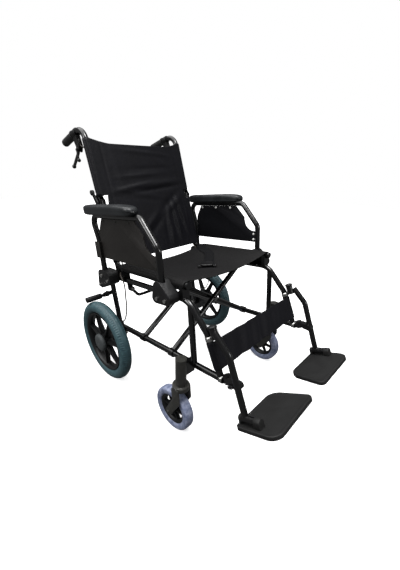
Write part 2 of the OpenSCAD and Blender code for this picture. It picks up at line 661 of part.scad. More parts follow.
// Side panel inside the armrest tube, its front corner cut off and hollowed in a curve;
// an ear laps over the outer side of the rear post
panel_edge = tube_r + 0.3;
panel_low = arm_pivot_w + 67;
panel_top = arm_w - panel_edge;
panel_back = arm_pivot_v - panel_edge;
panel_front = front_tube_v + panel_edge;
notch_c = [panel_front + 6, panel_top - 51];
notch_r = 45;
ear_x = arm_x + tube_r + gap;
module side_panel() raked() {
    plate_at(arm_x - panel_t / 2, panel_t) difference() {
        polygon([[panel_back, panel_low], [panel_back, panel_top - 49], [panel_back - 6, panel_top - 35], [panel_back - 27, panel_top],
            [panel_front + 93, panel_top], [notch_c[0] + notch_r + 1, panel_top - 43], [notch_c[0] + notch_r + 1, notch_c[1] - 3.5],
            [panel_front, notch_c[1] - 3.5], [panel_front, panel_low]]);
        translate(notch_c) circle(r = notch_r);
    }
    plate_at(arm_x, tube_r + gap + 1) translate([panel_back - 6, panel_low + 1]) square([5, 57]);
    plate_at(ear_x, 3) translate([panel_back - 7, panel_low + 0.5]) square([33, 58]);
    for (v = [-73, -152, -230]) rod_x(arm_x - panel_t / 2 - 1.5, arm_x + panel_t / 2 + 1.5, v, panel_top - 7, 7);
    for (w = [panel_low + 10, panel_low + 31]) rod_x(arm_x - panel_t / 2 - 1.5, arm_x + panel_t / 2 + 1.5, panel_front + 6, w, 7);
}

// Rear wheel
hub_in = wheel_x - 26;
rim_w = 34;
hub_r = 29;
module at_rear_wheel() translate([wheel_x, axle_world[1], axle_world[2]]) rotate([0, 90, 0]) children();
module rear_wheel() at_rear_wheel() difference() {
    union() {
        translate([0, 0, -26]) cylinder(r = hub_r - 4, h = 52);
        translate([0, 0, -15]) cylinder(r = hub_r, h = 30);
        rotate_extrude($fn = 120) polygon([[rim_r - 12, -8], [rim_r - 4, -rim_w / 2], [rim_r, -rim_w / 2], [rim_r, rim_w / 2], [rim_r - 4, rim_w / 2], [rim_r - 12, 8]]);
        for (k = [0 : rear_spokes - 1]) rotate([0, 0, 90 + (k + 0.5) * 360 / rear_spokes])
            translate([hub_r - 3, -8, -7]) cube([rim_r - hub_r - 6, 16, 14]);
    }
    cylinder(d = axle_d + 2 * fit, h = 80, center = true);
}
module rear_tyre() at_rear_wheel() rotate_extrude($fn = 120) difference() {
    translate([rear_r - rear_tyre_w / 2, 0]) circle(d = rear_tyre_w);
    translate([0, -rear_tyre_w]) square([rim_r + 0.1, 2 * rear_tyre_w]);
}

// Wheel lock: a rubber-covered bar that lies across the tyre
lock_bar_d = 22;
lock_gap = 0.8;
lock_bar_a = 24.3;
lock_bar_rad = rear_r + lock_bar_d / 2 + lock_gap;
lock_bar_pos = [axle_world[1] + lock_bar_rad * sin(lock_bar_a), axle_world[2] + lock_bar_rad * cos(lock_bar_a)];
module wheel_lock() difference() {
    union() {
        plate_at(lock_x, 5) link_shape([lock_pivot_world[1], lock_pivot_world[2]], 11, lock_bar_pos, 8);
        rod_x(lock_x, lock_x + 16, lock_bar_pos[0], lock_bar_pos[1], 12);
        rod_x(lock_x + 14, wheel_x + rear_tyre_w / 2 + 3, lock_bar_pos[0], lock_bar_pos[1], lock_bar_d);
    }
    rod_x(lock_x - 2, lock_x + 12, lock_pivot_world[1], lock_pivot_world[2], lock_pin_d + 2 * fit);
}

// Caster fork with its stem and axle
caster_axle = [stem[1] + trail, caster_r];
leg_in = caster_w / 2 + 4;
leg_t = 6;
leg_bow = [stem[1] + trail - 34, caster_r + 62];
module caster_fork() {
    translate([stem[0], stem[1], 0]) {
        translate([0, 0, crown_z]) cylinder(r = leg_in + leg_t, h = crown_t);
        cylinder_from(crown_z, stem_top, stem_d);
    }
    for (s = [-1, 1]) plate_at(stem[0] + (s > 0 ? leg_in : -leg_in - leg_t), leg_t) {
        link_shape([stem[1], crown_z + crown_t - 15], 15, leg_bow, 15);
        link_shape(leg_bow, 15, caster_axle, 13);
    }
    rod_x(stem[0] - leg_in - leg_t - 4, stem[0] + leg_in + leg_t + 4, caster_axle[0], caster_axle[1], caster_pin_d);
}
caster_pin_d = 8;
module cylinder_from(z0, z1, d) translate([0, 0, z0]) cylinder(d = d, h = z1 - z0);
caster_rim_r = caster_r - 24;
caster_hub_r = 16;
module at_caster() translate([stem[0], caster_axle[0], caster_axle[1]]) rotate([0, 90, 0]) children();
module caster_wheel() at_caster() difference() {
    union() {
        translate([0, 0, -leg_in + 0.5]) cylinder(r = caster_hub_r, h = 2 * leg_in - 1);
        rotate_extrude($fn = 96) polygon([[caster_rim_r - 10, -6], [caster_rim_r - 4, -12], [caster_rim_r, -12], [caster_rim_r, 12], [caster_rim_r - 4, 12], [caster_rim_r - 10, 6]]);
        for (k = [0 : caster_spokes - 1]) rotate([0, 0, k * 360 / caster_spokes])
            translate([caster_hub_r - 3, -5, -5]) cube([caster_rim_r - caster_hub_r - 4, 10, 10]);
    }
    cylinder(d = caster_pin_d + 2 * fit, h = 80, center = true);
}
tyre_edge = 9;
module caster_tyre() at_caster() rotate_extrude($fn = 96) intersection() {
    translate([caster_r - tyre_edge, 0]) {
        for (s = [-1, 1]) translate([0, s * (caster_w / 2 - tyre_edge)]) circle(r = tyre_edge);
        translate([-20, -caster_w / 2]) square([20, caster_w]);
        translate([0, -caster_w / 2 + tyre_edge]) square([tyre_edge, caster_w - 2 * tyre_edge]);
    }
    translate([caster_rim_r + 0.1, -caster_w]) square([caster_r, 2 * caster_w]);
}

// Hanger: swings on the two pins and ends in the footplate hinge
hanger_x = frame_x + 8;
hanger_bend = [-583, 290];
hanger_foot = [-637, 114.6];
hanger_slope = atan2(hanger_bend[0] - hanger_foot[0], hanger_bend[1] - hanger_foot[1]);
hinge_from = -30;
hinge_to = 10;
latch_w = 203;
latch_pin = [hanger_at(latch_w) + 13, latch_w - 4];
function hanger_at(w) = hanger_foot[0] + (w - hanger_foot[1]) * tan(hanger_slope);
module on_foot() translate([hanger_x, hanger_foot[0], hanger_foot[1]]) rotate([-hanger_slope, 0, 0]) children();
module hanger() raked() difference() {
    union() {
        on_swing(swing_top) translate([0, 0, -barrel_top_h / 2 + 0.1]) cylinder(d = barrel_d, h = barrel_top_h);
        on_swing(swing_low) translate([0, 0, -barrel_low_h / 2 + 0.1]) cylinder(d = barrel_d, h = barrel_low_h);
        bent_tube([[hanger_x, swing_top[0] - 12, swing_top[1] + 4], [hanger_x, hanger_bend[0], hanger_bend[1]], [hanger_x, hanger_foot[0], hanger_foot[1]]], hanger_d, 34);
        // Latch block
        plate_at(frame_x - 9, 22) link_shape([swing_low[0] - 8, swing_low[1] - 1], 9, [hanger_at(latch_w), latch_w], 10);
        on_foot() rod_v(0, hinge_from, hinge_to, 0, 22);
    }
    // Room for the lugs under the two barrels
    on_swing(swing_top) translate([0, 0, -barrel_top_h / 2 - lug_t - gap]) cylinder(d = barrel_d + 2 * gap, h = lug_t + gap + 0.2);
    on_swing(swing_low) translate([0, 0, -barrel_low_h / 2 - lug_t - gap]) cylinder(d = barrel_d + 10, h = lug_t + gap + 0.3);
    on_swing(swing_top) cylinder(d = pin_d + 2 * fit, h = 100, center = true);
    on_swing(swing_low) cylinder(d = pin_d + 2 * fit, h = 60, center = true);
    on_foot() rod_v(0, 2 * hinge_from, -2 * hinge_from, 0, foot_pin_d + 2 * fit);
    rod_x(hanger_x - 30, hanger_x + 30, latch_pin[0], latch_pin[1], latch_pin_d + 2 * fit);
}
foot_pin_d = 8;

// Latch lever on the outer face of the latch block
latch_pin_d = 5;
latch_x = frame_x + 13.2;
module hanger_latch() raked() {
    plate_at(latch_x, 5) {
        link_shape(latch_pin, 4.6, latch_pin + [7.5, -2.5], 5.6);
    }
    rod_x(frame_x - 8, latch_x + 1, latch_pin[0], latch_pin[1], latch_pin_d);
}

// Footplate: hinged on the hanger's foot, level across and square to the hanger
knuckle_front = 21;
knuckle_rear = 9;
plate_outline = ring_outline([[12, 12], [-plate_len + 14, 10], [-plate_len, 10 - plate_depth], [-12, -72]], [12, 14, 16, 34]);
module footplate() raked() on_foot() {
    translate([0, 0, -plate_drop - plate_t]) linear_extrude(plate_t) polygon(plate_outline);
    // Moulded block in front of the hanger and a knuckle behind it, joined by the pin
    translate([-12, hinge_from - 0.5 - knuckle_front, -plate_drop - 1]) cube([26, knuckle_front, plate_drop + 4]);
    rod_v(0, hinge_from - 0.5 - knuckle_front, hinge_from - 0.5, 0, 21);
    rod_v(0, hinge_to + 0.5, hinge_to + 0.5 + knuckle_rear, 0, 20);
    translate([-9.5, hinge_to + 0.5, -plate_drop - 1]) cube([19, knuckle_rear, plate_drop + 1]);
    rod_v(0, hinge_from - 0.5 - knuckle_front + 1, hinge_to + 0.5 + knuckle_rear - 1, 0, foot_pin_d);
}

color(frame_black) right_side() side_frame();  // side_frame_right
color(frame_black) side_frame();  // side_frame_left
color(plastic_black) right_side() rear_socket();  // rear_socket_right
color(plastic_black) rear_socket();  // rear_socket_left
color(plastic_black) right_side() front_socket();  // front_socket_right
color(plastic_black) front_socket();  // front_socket_left
color(steel) right_side() frame_bolts();  // frame_bolts_right
color(steel) frame_bolts();  // frame_bolts_left
color(frame_black) right_side() rear_brake();  // rear_brake_right
color(frame_black) rear_brake();  // rear_brake_left
color(plastic_black) right_side() brake_cable();  // brake_cable_right
color(plastic_black) brake_cable();  // brake_cable_left
color(plastic_black) right_side() upper_cable();  // upper_cable_right
color(plastic_black) upper_cable();  // upper_cable_left
color(frame_black) right_side() upper_cane();  // upper_cane_right
color(frame_black) upper_cane();  // upper_cane_left
color(plastic_black) right_side() grip();  // grip_right
color(plastic_black) grip();  // grip_left
color(plastic_black) right_side() lever_clamp();  // lever_clamp_right
color(plastic_black) lever_clamp();  // lever_clamp_left
color(frame_black) right_side() brake_lever();  // brake_lever_right
color(frame_black) brake_lever();  // brake_lever_left
color(frame_black) right_side() park_latch();  // park_latch_right
color(frame_black) park_latch();  // park_latch_left
color(plastic_black) right_side() back_release();  // back_release_right
color(plastic_black) back_release();  // back_release_left
color(cloth_black) back_upper();
color(cloth_black) back_lower();
color(cloth_black) seat_sling();
color(cloth_black) calf_strap();
color(cloth_black) lap_belt();
color(frame_black) brace(-1, 0, fit);  // brace_a
color(frame_black) brace(1, brace_shift, fit);  // brace_b
color(steel) brace_bolts();
color(frame_black) right_side() fold_link();  // link_right
color(frame_black) fold_link();  // link_left
color(frame_black) right_side() arm_frame();  // arm_frame_right
color(frame_black) arm_frame();  // arm_frame_left
color(pad_grey) right_side() arm_pad();  // arm_pad_right
color(pad_grey) arm_pad();  // arm_pad_left
color(plastic_black) right_side() side_panel();  // side_panel_right
color(plastic_black) side_panel();  // side_panel_left
color(rear_rubber) right_side() rear_tyre();  // rear_tyre_right
color(rear_rubber) rear_tyre();  // rear_tyre_left
color(frame_black) right_side() rear_wheel();  // rear_wheel_right
color(frame_black) rear_wheel();  // rear_wheel_left
color(plastic_black) right_side() wheel_lock();  // wheel_lock_right
color(plastic_black) wheel_lock();  // wheel_lock_left
color(frame_black) right_side() caster_fork();  // caster_fork_right
color(frame_black) caster_fork();  // caster_fork_left
color(plastic_black) right_side() caster_wheel();  // caster_wheel_right
color(plastic_black) caster_wheel();  // caster_wheel_left
color(caster_rubber) right_side() caster_tyre();  // caster_tyre_right
color(caster_rubber) caster_tyre();  // caster_tyre_left
color(frame_black) right_side() hanger();  // hanger_right
color(frame_black) hanger();  // hanger_left
color(plastic_black) right_side() hanger_latch();  // hanger_latch_right
color(plastic_black) hanger_latch();  // hanger_latch_left
color(plastic_black) right_side() footplate();  // footplate_right
color(plastic_black) footplate();  // footplate_left
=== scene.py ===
"""Attendant wheelchair with a black tube frame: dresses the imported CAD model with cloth, rubber and paint."""
import json
import math

import bmesh
import bpy
import numpy as np
from mathutils import Matrix

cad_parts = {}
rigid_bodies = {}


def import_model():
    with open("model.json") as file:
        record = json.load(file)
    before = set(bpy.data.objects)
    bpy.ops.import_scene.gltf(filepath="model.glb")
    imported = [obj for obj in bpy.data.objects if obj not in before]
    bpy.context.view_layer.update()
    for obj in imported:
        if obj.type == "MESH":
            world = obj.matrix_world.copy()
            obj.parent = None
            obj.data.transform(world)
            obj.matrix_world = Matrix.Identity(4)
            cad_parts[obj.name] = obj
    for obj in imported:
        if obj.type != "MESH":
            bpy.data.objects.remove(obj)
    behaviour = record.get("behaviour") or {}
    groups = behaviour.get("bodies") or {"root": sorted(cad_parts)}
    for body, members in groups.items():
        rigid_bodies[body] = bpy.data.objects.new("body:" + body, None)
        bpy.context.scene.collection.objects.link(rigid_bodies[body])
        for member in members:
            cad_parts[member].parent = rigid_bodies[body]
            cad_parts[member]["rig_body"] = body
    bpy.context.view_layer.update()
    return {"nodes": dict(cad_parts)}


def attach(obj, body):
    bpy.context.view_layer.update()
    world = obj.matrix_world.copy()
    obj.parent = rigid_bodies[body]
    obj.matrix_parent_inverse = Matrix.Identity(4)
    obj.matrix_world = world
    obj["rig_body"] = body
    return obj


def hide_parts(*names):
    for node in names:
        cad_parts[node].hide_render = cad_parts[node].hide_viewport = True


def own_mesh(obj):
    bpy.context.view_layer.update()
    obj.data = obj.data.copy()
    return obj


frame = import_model()
nodes = frame["nodes"]

# Camera: stands to the front right of the chair, a little lower than its handles, and looks down
# on it. The frame is 400 x 570, so its longer side carries the 36 mm sensor.
LONG_SIDE_PX, SHIFT_X_PX, SHIFT_Y_PX = 570, 3.9, 2.25
eye = np.array([-0.7250, -0.6971, 0.8228])
yaw, pitch, roll = (math.radians(a) for a in (46.06, 24.16, 1.54))
ahead = np.array([math.sin(yaw) * math.cos(pitch), math.cos(yaw) * math.cos(pitch), -math.sin(pitch)])
level = np.array([math.cos(yaw), -math.sin(yaw), 0.0])
lift = np.cross(level, ahead)
right = math.cos(roll) * level + math.sin(roll) * lift
upward = math.cos(roll) * lift - math.sin(roll) * level
camera_data = bpy.data.cameras.new("photo_camera")
camera_data.lens = 18.13
camera_data.sensor_width = 36.0
camera_data.sensor_height = 36.0
camera_data.shift_x = SHIFT_X_PX / LONG_SIDE_PX
camera_data.shift_y = SHIFT_Y_PX / LONG_SIDE_PX
camera_data.clip_start = 0.05
camera = bpy.data.objects.new("photo_camera", camera_data)
bpy.context.scene.collection.objects.link(camera)
stand = np.eye(4)
stand[:3, 0], stand[:3, 1], stand[:3, 2], stand[:3, 3] = right, upward, -ahead, eye
camera.matrix_world = Matrix(stand.tolist())
bpy.context.scene.camera = camera
bpy.context.scene.view_settings.view_transform = "Standard"
bpy.context.scene.view_settings.look = "None"

# Frame tubes: welded steel tube, 20 mm, sprayed with black powder and baked. The baked powder
# leaves a fine orange peel and a semi-gloss that draws soft bright lines along the tubes.
SIDES = ("right", "left")
HANDED = (("right", -1), ("left", 1))


def colour(hex_value):
    """sRGB hex value to linear RGBA: each channel through the sRGB curve."""
    c = np.array([int(hex_value[i:i + 2], 16) for i in (1, 3, 5)]) / 255.0
    c = np.where(c <= 0.04045, c / 12.92, ((c + 0.055) / 1.055) ** 2.4)
    return (*c.tolist(), 1.0)


def add(tree, kind, inputs=None, **settings):
    """Adds a node with its settings; an input is a value, or the socket that feeds it."""
    node = tree.nodes.new(kind)
    for name, value in settings.items():
        setattr(node, name, value)
    for name, value in (inputs or {}).items():
        if isinstance(value, bpy.types.NodeSocket):
            tree.links.new(value, node.inputs[name])
        else:
            node.inputs[name].default_value = value
    return node


def new_finish(name, sockets):
    """A material with one principled shader; returns it, its tree, the shader and object coordinates."""
    material = bpy.data.materials.new(name)
    material.use_nodes = True
    tree = material.node_tree
    tree.nodes.clear()
    shader = add(tree, "ShaderNodeBsdfPrincipled", sockets)
    add(tree, "ShaderNodeOutputMaterial", {"Surface": shader.outputs[0]})
    place = add(tree, "ShaderNodeTexCoord").outputs["Object"]
    return material, tree, shader, place


def feed(tree, node, shader, name):
    """Links a node's result to one of the shader's sockets; a Mix node's colour is its third one."""
    result = node.outputs[2 if node.bl_idname == "ShaderNodeMix" else 0]
    tree.links.new(result, shader.inputs[name])


def paint(name, low, high, rough_low, rough_high):
    """Sprayed powder: the colour is scuffed over 11 mm and the gloss drifts over 56 mm. The peel is
    drawn 8 mm wide, which is coarser than a real one, so that it shows."""
    sockets = {"IOR": 1.52, "Coat Weight": 0.25, "Coat Roughness": 0.18}
    material, tree, shader, place = new_finish(name, sockets)
    drift = add(tree, "ShaderNodeTexNoise", {"Vector": place, "Scale": 18.0, "Detail": 4.0}).outputs[0]
    scuff = add(tree, "ShaderNodeTexNoise", {"Vector": place, "Scale": 90.0, "Detail": 3.0}).outputs[0]
    amount = add(tree, "ShaderNodeMapRange", {"Value": scuff, "From Min": 0.5, "From Max": 0.75}).outputs[0]
    base = add(tree, "ShaderNodeMix", {0: amount, 6: colour(low), 7: colour(high)}, data_type="RGBA")
    feed(tree, base, shader, "Base Color")
    reach = {"Value": drift, "From Min": 0.3, "From Max": 0.7, "To Min": rough_low, "To Max": rough_high}
    feed(tree, add(tree, "ShaderNodeMapRange", reach), shader, "Roughness")
    fine = {"Vector": place, "Scale": 1000.0 / 8.0, "Detail": 1.0}
    grain = add(tree, "ShaderNodeTexNoise", fine).outputs[0]
    peel = add(tree, "ShaderNodeBump", {"Height": grain, "Strength": 0.02, "Distance": 0.0004})
    feed(tree, peel, shader, "Normal")
    return material


def cover(mesh, material):
    """One finish on every face of a mesh."""
    mesh.materials.clear()
    mesh.materials.append(material)
    mesh.polygons.foreach_set("material_index", np.zeros(len(mesh.polygons), np.int32))


powder_coat = paint("powder_coat_black", "#050506", "#0c0c0d", 0.2, 0.28)
TUBES = ("side_frame", "upper_cane", "arm_frame", "hanger", "link")
for name in ["brace_a", "brace_b"] + [f"{part}_{side}" for side in SIDES for part in TUBES]:
    cover(nodes[name].data, powder_coat)

# Caster housings: the lower part of each side frame, a heavier steel tube sprayed in a flat
# grey-brown that hides scratches.
housing_paint = paint("housing_paint", "#232320", "#34332f", 0.4, 0.52)
AXLE_Y, STEM_X, STEM_AHEAD = 210.6, 262.0, 408.0
# In metres, as the meshes are: the stem's place, and how far round it and up the paint reaches.
STEM_AT = np.array([STEM_X, AXLE_Y - STEM_AHEAD]) / 1000
HOUSING_R, HOUSING_LOW, HOUSING_TOP = 0.0195, 0.17, 0.292
for side, sign in HANDED:
    mesh = nodes[f"side_frame_{side}"].data
    mesh.materials.append(housing_paint)
    middle = np.empty(len(mesh.polygons) * 3, np.float32)
    mesh.polygons.foreach_get("center", middle)
    middle = middle.reshape(-1, 3)
    reach = np.hypot(middle[:, 0] - sign * STEM_AT[0], middle[:, 1] - STEM_AT[1])
    held = (reach < HOUSING_R) & (middle[:, 2] > HOUSING_LOW) & (middle[:, 2] < HOUSING_TOP)
    mesh.polygons.foreach_set("material_index", held.astype(np.int32))

# Bolts, nuts and pins: machined steel with bright zinc plating, turned, so the light
# breaks into fine streaks and small stains.


def plated_steel(name):
    """Zinc plate: metal with a fine mottle of 2 to 3 mm."""
    material, tree, shader, place = new_finish(name, {"Metallic": 1.0})
    mottle = add(tree, "ShaderNodeTexNoise", {"Vector": place, "Scale": 420.0, "Detail": 4.0}).outputs[0]
    ends = {0: mottle, 6: colour("#9a9a98"), 7: colour("#d8d8d4")}
    feed(tree, add(tree, "ShaderNodeMix", ends, data_type="RGBA"), shader, "Base Color")
    gloss = add(tree, "ShaderNodeMapRange", {"Value": mottle, "To Min": 0.18, "To Max": 0.42})
    feed(tree, gloss, shader, "Roughness")
    bump = add(tree, "ShaderNodeBump", {"Height": mottle, "Strength": 0.1, "Distance": 0.0003})
    feed(tree, bump, shader, "Normal")
    return material


zinc = plated_steel("zinc_plated_steel")
for name in ("brace_bolts", "frame_bolts_right", "frame_bolts_left"):
    cover(nodes[name].data, zinc)

# Sockets, lever clamps and latches: injection-moulded black nylon with glass fibre, bolted
# to the tubes. Moulded corners are round, and the mould was spark-eroded, so it looks dull and grained.


def moulding(name, low, high, rough, grain_mm=1.0, depth=0.25):
    """Spark-eroded moulding: a grain of grain_mm, drawn coarser than a real one so that it shows,
    with a slow drift of colour and gloss over 38 mm."""
    material, tree, shader, place = new_finish(name, {"IOR": 1.5, "Specular IOR Level": 0.32})
    slow = {"Vector": place, "Scale": 26.0, "Detail": 5.0, "Roughness": 0.6}
    drift = add(tree, "ShaderNodeTexNoise", slow).outputs[0]
    base = add(tree, "ShaderNodeMix", {0: drift, 6: colour(low), 7: colour(high)}, data_type="RGBA")
    feed(tree, base, shader, "Base Color")
    reach = {"Value": drift, "From Min": 0.3, "From Max": 0.7, "To Min": rough - 0.06, "To Max": rough + 0.08}
    feed(tree, add(tree, "ShaderNodeMapRange", reach), shader, "Roughness")
    grain = add(tree, "ShaderNodeTexVoronoi", {"Vector": place, "Scale": 1000.0 / grain_mm}).outputs[0]
    bump = add(tree, "ShaderNodeBump", {"Height": grain, "Strength": depth, "Distance": 0.0003})
    feed(tree, bump, shader, "Normal")
    return material


def rounded_copy(name, material, radius_mm, segments=2):
    """A CAD node with its corners rounded: its triangles are merged into faces, then each edge
    sharper than 35 degrees is bevelled."""
    source = nodes[name]
    piece = bpy.data.objects.new(name + "_moulded", source.data.copy())
    bpy.context.scene.collection.objects.link(piece)
    shape = bmesh.new()
    shape.from_mesh(piece.data)
    bmesh.ops.remove_doubles(shape, verts=shape.verts, dist=2e-5)
    bmesh.ops.dissolve_limit(shape, angle_limit=math.radians(0.6), verts=shape.verts, edges=shape.edges)
    shape.to_mesh(piece.data)
    shape.free()
    cover(piece.data, material)
    piece.data.shade_smooth()
    edge = piece.modifiers.new("rounded_corners", "BEVEL")
    edge.width = radius_mm / 1000
    edge.segments = segments
    edge.limit_method = "ANGLE"
    edge.angle_limit = math.radians(35)
    edge.harden_normals = True
    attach(piece, source["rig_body"])
    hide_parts(name)
    return piece


black_nylon = moulding("black_nylon", "#0b0b0c", "#161617", 0.46)
for side in SIDES:
    rounded_copy(f"rear_socket_{side}", black_nylon, 2.5, 3)
    rounded_copy(f"front_socket_{side}", black_nylon, 2.5, 3)
    rounded_copy(f"lever_clamp_{side}", black_nylon, 1.0)
    rounded_copy(f"back_release_{side}", black_nylon, 1.5)
    rounded_copy(f"hanger_latch_{side}", black_nylon, 1.2)
    rounded_copy(f"wheel_lock_{side}", black_nylon, 1.0)

# Brake levers and parking latches: cast aluminium sprayed black, with small ball ends.
lever_black = paint("lever_black", "#070708", "#131314", 0.26, 0.38)
for side in SIDES:
    rounded_copy(f"brake_lever_{side}", lever_black, 1.2)
    rounded_copy(f"park_latch_{side}", lever_black, 0.8)

# Brake drums: pressed steel shells, painted dark grey, inside the rear wheels.
drum_grey = paint("drum_grey", "#232426", "#3a3b3d", 0.35, 0.5)
for side in SIDES:
    rounded_copy(f"rear_brake_{side}", drum_grey, 1.2)

# Back cloth: one layer of black nylon, sewn into sleeves that slide down over the canes, in an
# upper and a lower panel that meet at the folding hinge. The cloth hangs a little slack between
# the canes, so it has shallow folds.
RAKE, LEAN = math.radians(6.5), math.radians(11.4)
# Places in the sloping frame: v runs back from the rear axle and w up. The rear posts stand at
# POST_V and lean back from LEAN_FROM_W on, and the back hinges on them at HINGE_W.
POST_V, LEAN_FROM_W, HINGE_W = -61.4, 406.0, 694.0
HINGE_V = POST_V + (HINGE_W - LEAN_FROM_W) * math.tan(LEAN)


def raked(points):
    """Millimetres across, along and above the sloping frame to metres in the chair's axes."""
    p = np.asarray(points, float)
    y = AXLE_Y + p[..., 1] * math.cos(RAKE) + p[..., 2] * math.sin(RAKE)
    z = -p[..., 1] * math.sin(RAKE) + p[..., 2] * math.cos(RAKE)
    return np.stack([p[..., 0], y, z], -1) / 1000.0


def on_back(points):
    """Millimetres from the back's folding hinge, with Z up the canes, to metres in the chair's axes."""
    p = np.asarray(points, float)
    v = HINGE_V + p[..., 1] * math.cos(LEAN) + p[..., 2] * math.sin(LEAN)
    w = HINGE_W - p[..., 1] * math.sin(LEAN) + p[..., 2] * math.cos(LEAN)
    return raked(np.stack([p[..., 0], v, w], -1))


def full_turn(count):
    """Even angles round a circle, with the last one a step short of the first."""
    return np.linspace(0, 2 * math.pi, count + 1)[:-1]


def grid_piece(name, points, material, body, closed_u=False, closed_v=False, caps=False):
    """A piece from a grid of points: row after row, four neighbours to a face. closed_u joins the last
    row to the first, closed_v the last column to the first, and caps close the two end rows."""
    n, m = points.shape[:2]
    rows = np.arange(n if closed_u else n - 1)
    cols = np.arange(m if closed_v else m - 1)
    i, j = (a.ravel() for a in np.meshgrid(rows, cols, indexing="ij"))
    next_i, next_j = (i + 1) % n, (j + 1) % m
    corners = [i * m + j, next_i * m + j, next_i * m + next_j, i * m + next_j]
    faces = np.stack(corners, 1).tolist()
    if caps:
        faces.append(list(range(m)))
        faces.append(list(range((n - 1) * m, n * m))[::-1])
    mesh = bpy.data.meshes.new(name)
    mesh.from_pydata(points.reshape(-1, 3).tolist(), [], faces)
    uv = mesh.uv_layers.new(name="cloth")
    spread = np.stack(np.meshgrid(np.linspace(0, 1, n), np.linspace(0, 1, m), indexing="ij"), -1)
    corner = np.empty(len(mesh.loops), np.int32)
    mesh.loops.foreach_get("vertex_index", corner)
    uv.data.foreach_set("uv", spread.reshape(-1, 2)[corner].astype(np.float32).ravel())
    mesh.materials.append(material)
    mesh.shade_smooth()
    piece = bpy.data.objects.new(name, mesh)
    bpy.context.scene.collection.objects.link(piece)
    shape = bmesh.new()
    shape.from_mesh(mesh)
    bmesh.ops.remove_doubles(shape, verts=shape.verts, dist=1e-6)
    bmesh.ops.recalc_face_normals(shape, faces=shape.faces)
    shape.to_mesh(mesh)
    shape.free()
    if body:
        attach(piece, body)
    return piece


def thicken(piece, thickness_mm, levels=1):
    """A wall to both sides of a sheet, then the given number of smoothing steps."""
    wall = piece.modifiers.new("thickness", "SOLIDIFY")
    wall.thickness = thickness_mm / 1000
    wall.offset = 0.0
    if levels:
        smooth = piece.modifiers.new("smoothing", "SUBSURF")
        smooth.levels = levels
        smooth.render_levels = levels


def nylon(name, low, high, rough, thread_mm, sheen, wide_mm=60.0):
    """Plain weave: two crossed waves, drawn about twice as far apart as the threads so that they
    show, on cloth that has faded a little over wide_mm; a nap of fine fibres gives the sheen."""
    sockets = {"IOR": 1.48, "Roughness": rough, "Specular IOR Level": 0.18}
    sockets |= {"Sheen Weight": sheen, "Sheen Roughness": 0.45, "Sheen Tint": colour("#9a9aa8")}
    material, tree, shader, place = new_finish(name, sockets)
    wide = {"Vector": place, "Scale": 1000.0 / wide_mm, "Detail": 5.0, "Roughness": 0.62}
    fade = add(tree, "ShaderNodeTexNoise", wide).outputs[0]
    base = add(tree, "ShaderNodeMix", {0: fade, 6: colour(low), 7: colour(high)}, data_type="RGBA")
    feed(tree, base, shader, "Base Color")
    turn = add(tree, "ShaderNodeMapping", {"Vector": place, "Rotation": (RAKE, 0.0, 0.0)}).outputs[0]
    # At a scale of 1 the bands lie 314 mm apart, so this draws them about 2 x thread_mm apart.
    scale = 1000.0 / thread_mm / 6.283
    wave = {"Vector": turn, "Scale": scale, "Distortion": 0.6, "Detail": 1.0}
    across = add(tree, "ShaderNodeTexWave", wave, bands_direction="X").outputs["Fac"]
    along = add(tree, "ShaderNodeTexWave", wave, bands_direction="DIAGONAL").outputs["Fac"]
    weave = add(tree, "ShaderNodeMath", {0: across, 1: along}, operation="MULTIPLY").outputs[0]
    threads = add(tree, "ShaderNodeBump", {"Height": weave, "Strength": 0.35, "Distance": 0.0006}).outputs[0]
    pucker = add(tree, "ShaderNodeTexNoise", {"Vector": place, "Scale": 55.0, "Detail": 3.0}).outputs[0]
    relief = {"Height": pucker, "Strength": 0.35, "Distance": 0.0025, "Normal": threads}
    feed(tree, add(tree, "ShaderNodeBump", relief), shader, "Normal")
    return material


back_nylon = nylon("back_nylon", "#060609", "#101015", 0.54, 2.4, 0.04)
CANE_X, SLEEVE_R = 206.0, 11.9
SLACK_Y = -12.3
SIDE_SEAM_X = 166
# Folds of the back, each with its height, its middle across and up, its half width and half
# height, and its turn in degrees. A negative height is a hollow.
BACK_FOLDS = [
    (4.2, 60, 34, 150, 11, 5), (-3.6, 60, 14, 150, 8, 5), (4.6, 112, -54, 62, 12, 32),
    (-3.6, 98, -34, 66, 12, 32), (3.8, 66, -112, 10, 46, -12), (3.0, -70, 26, 90, 8, 9),
    (2.6, -40, 66, 100, 7, 3), (2.4, 20, 150, 120, 8, -4), (-2.2, 30, 92, 120, 9, 2),
    (2.0, -60, 2, 110, 9, -12), (-1.6, -70, -18, 120, 9, -8), (7.0, 150, -100, 8, 66, 12),
    (-6.0, 134, -105, 8, 66, 14), (6.5, 114, -130, 9, 58, 6), (-5.0, 94, -128, 9, 62, 5),
    (4.5, 74, -160, 10, 46, -4), (-3.4, 50, -155, 10, 50, -6), (3.4, 172, -150, 7, 60, -6),
    (-2.6, 184, -60, 7, 50, 10), (4.0, -20, -110, 60, 12, 38), (-3.4, 0, -132, 60, 11, 38),
    (1.6, -110, -60, 70, 12, -30), (1.4, -120, 90, 14, 70, 8), (1.5, 100, 110, 80, 14, -24),
    (-1.4, 80, 134, 80, 14, -24), (1.6, 160, 60, 10, 70, 6), (1.0, -160, 40, 10, 80, -5),
]


def swell(x, z, cx, cz, wide, tall, turn_deg):
    """A smooth ridge: a two-way bell curve, turned in the plane of the cloth."""
    a = math.radians(turn_deg)
    u = (x - cx) * math.cos(a) + (z - cz) * math.sin(a)
    t = -(x - cx) * math.sin(a) + (z - cz) * math.cos(a)
    return np.exp(-((u / wide) ** 2) - ((t / tall) ** 2))


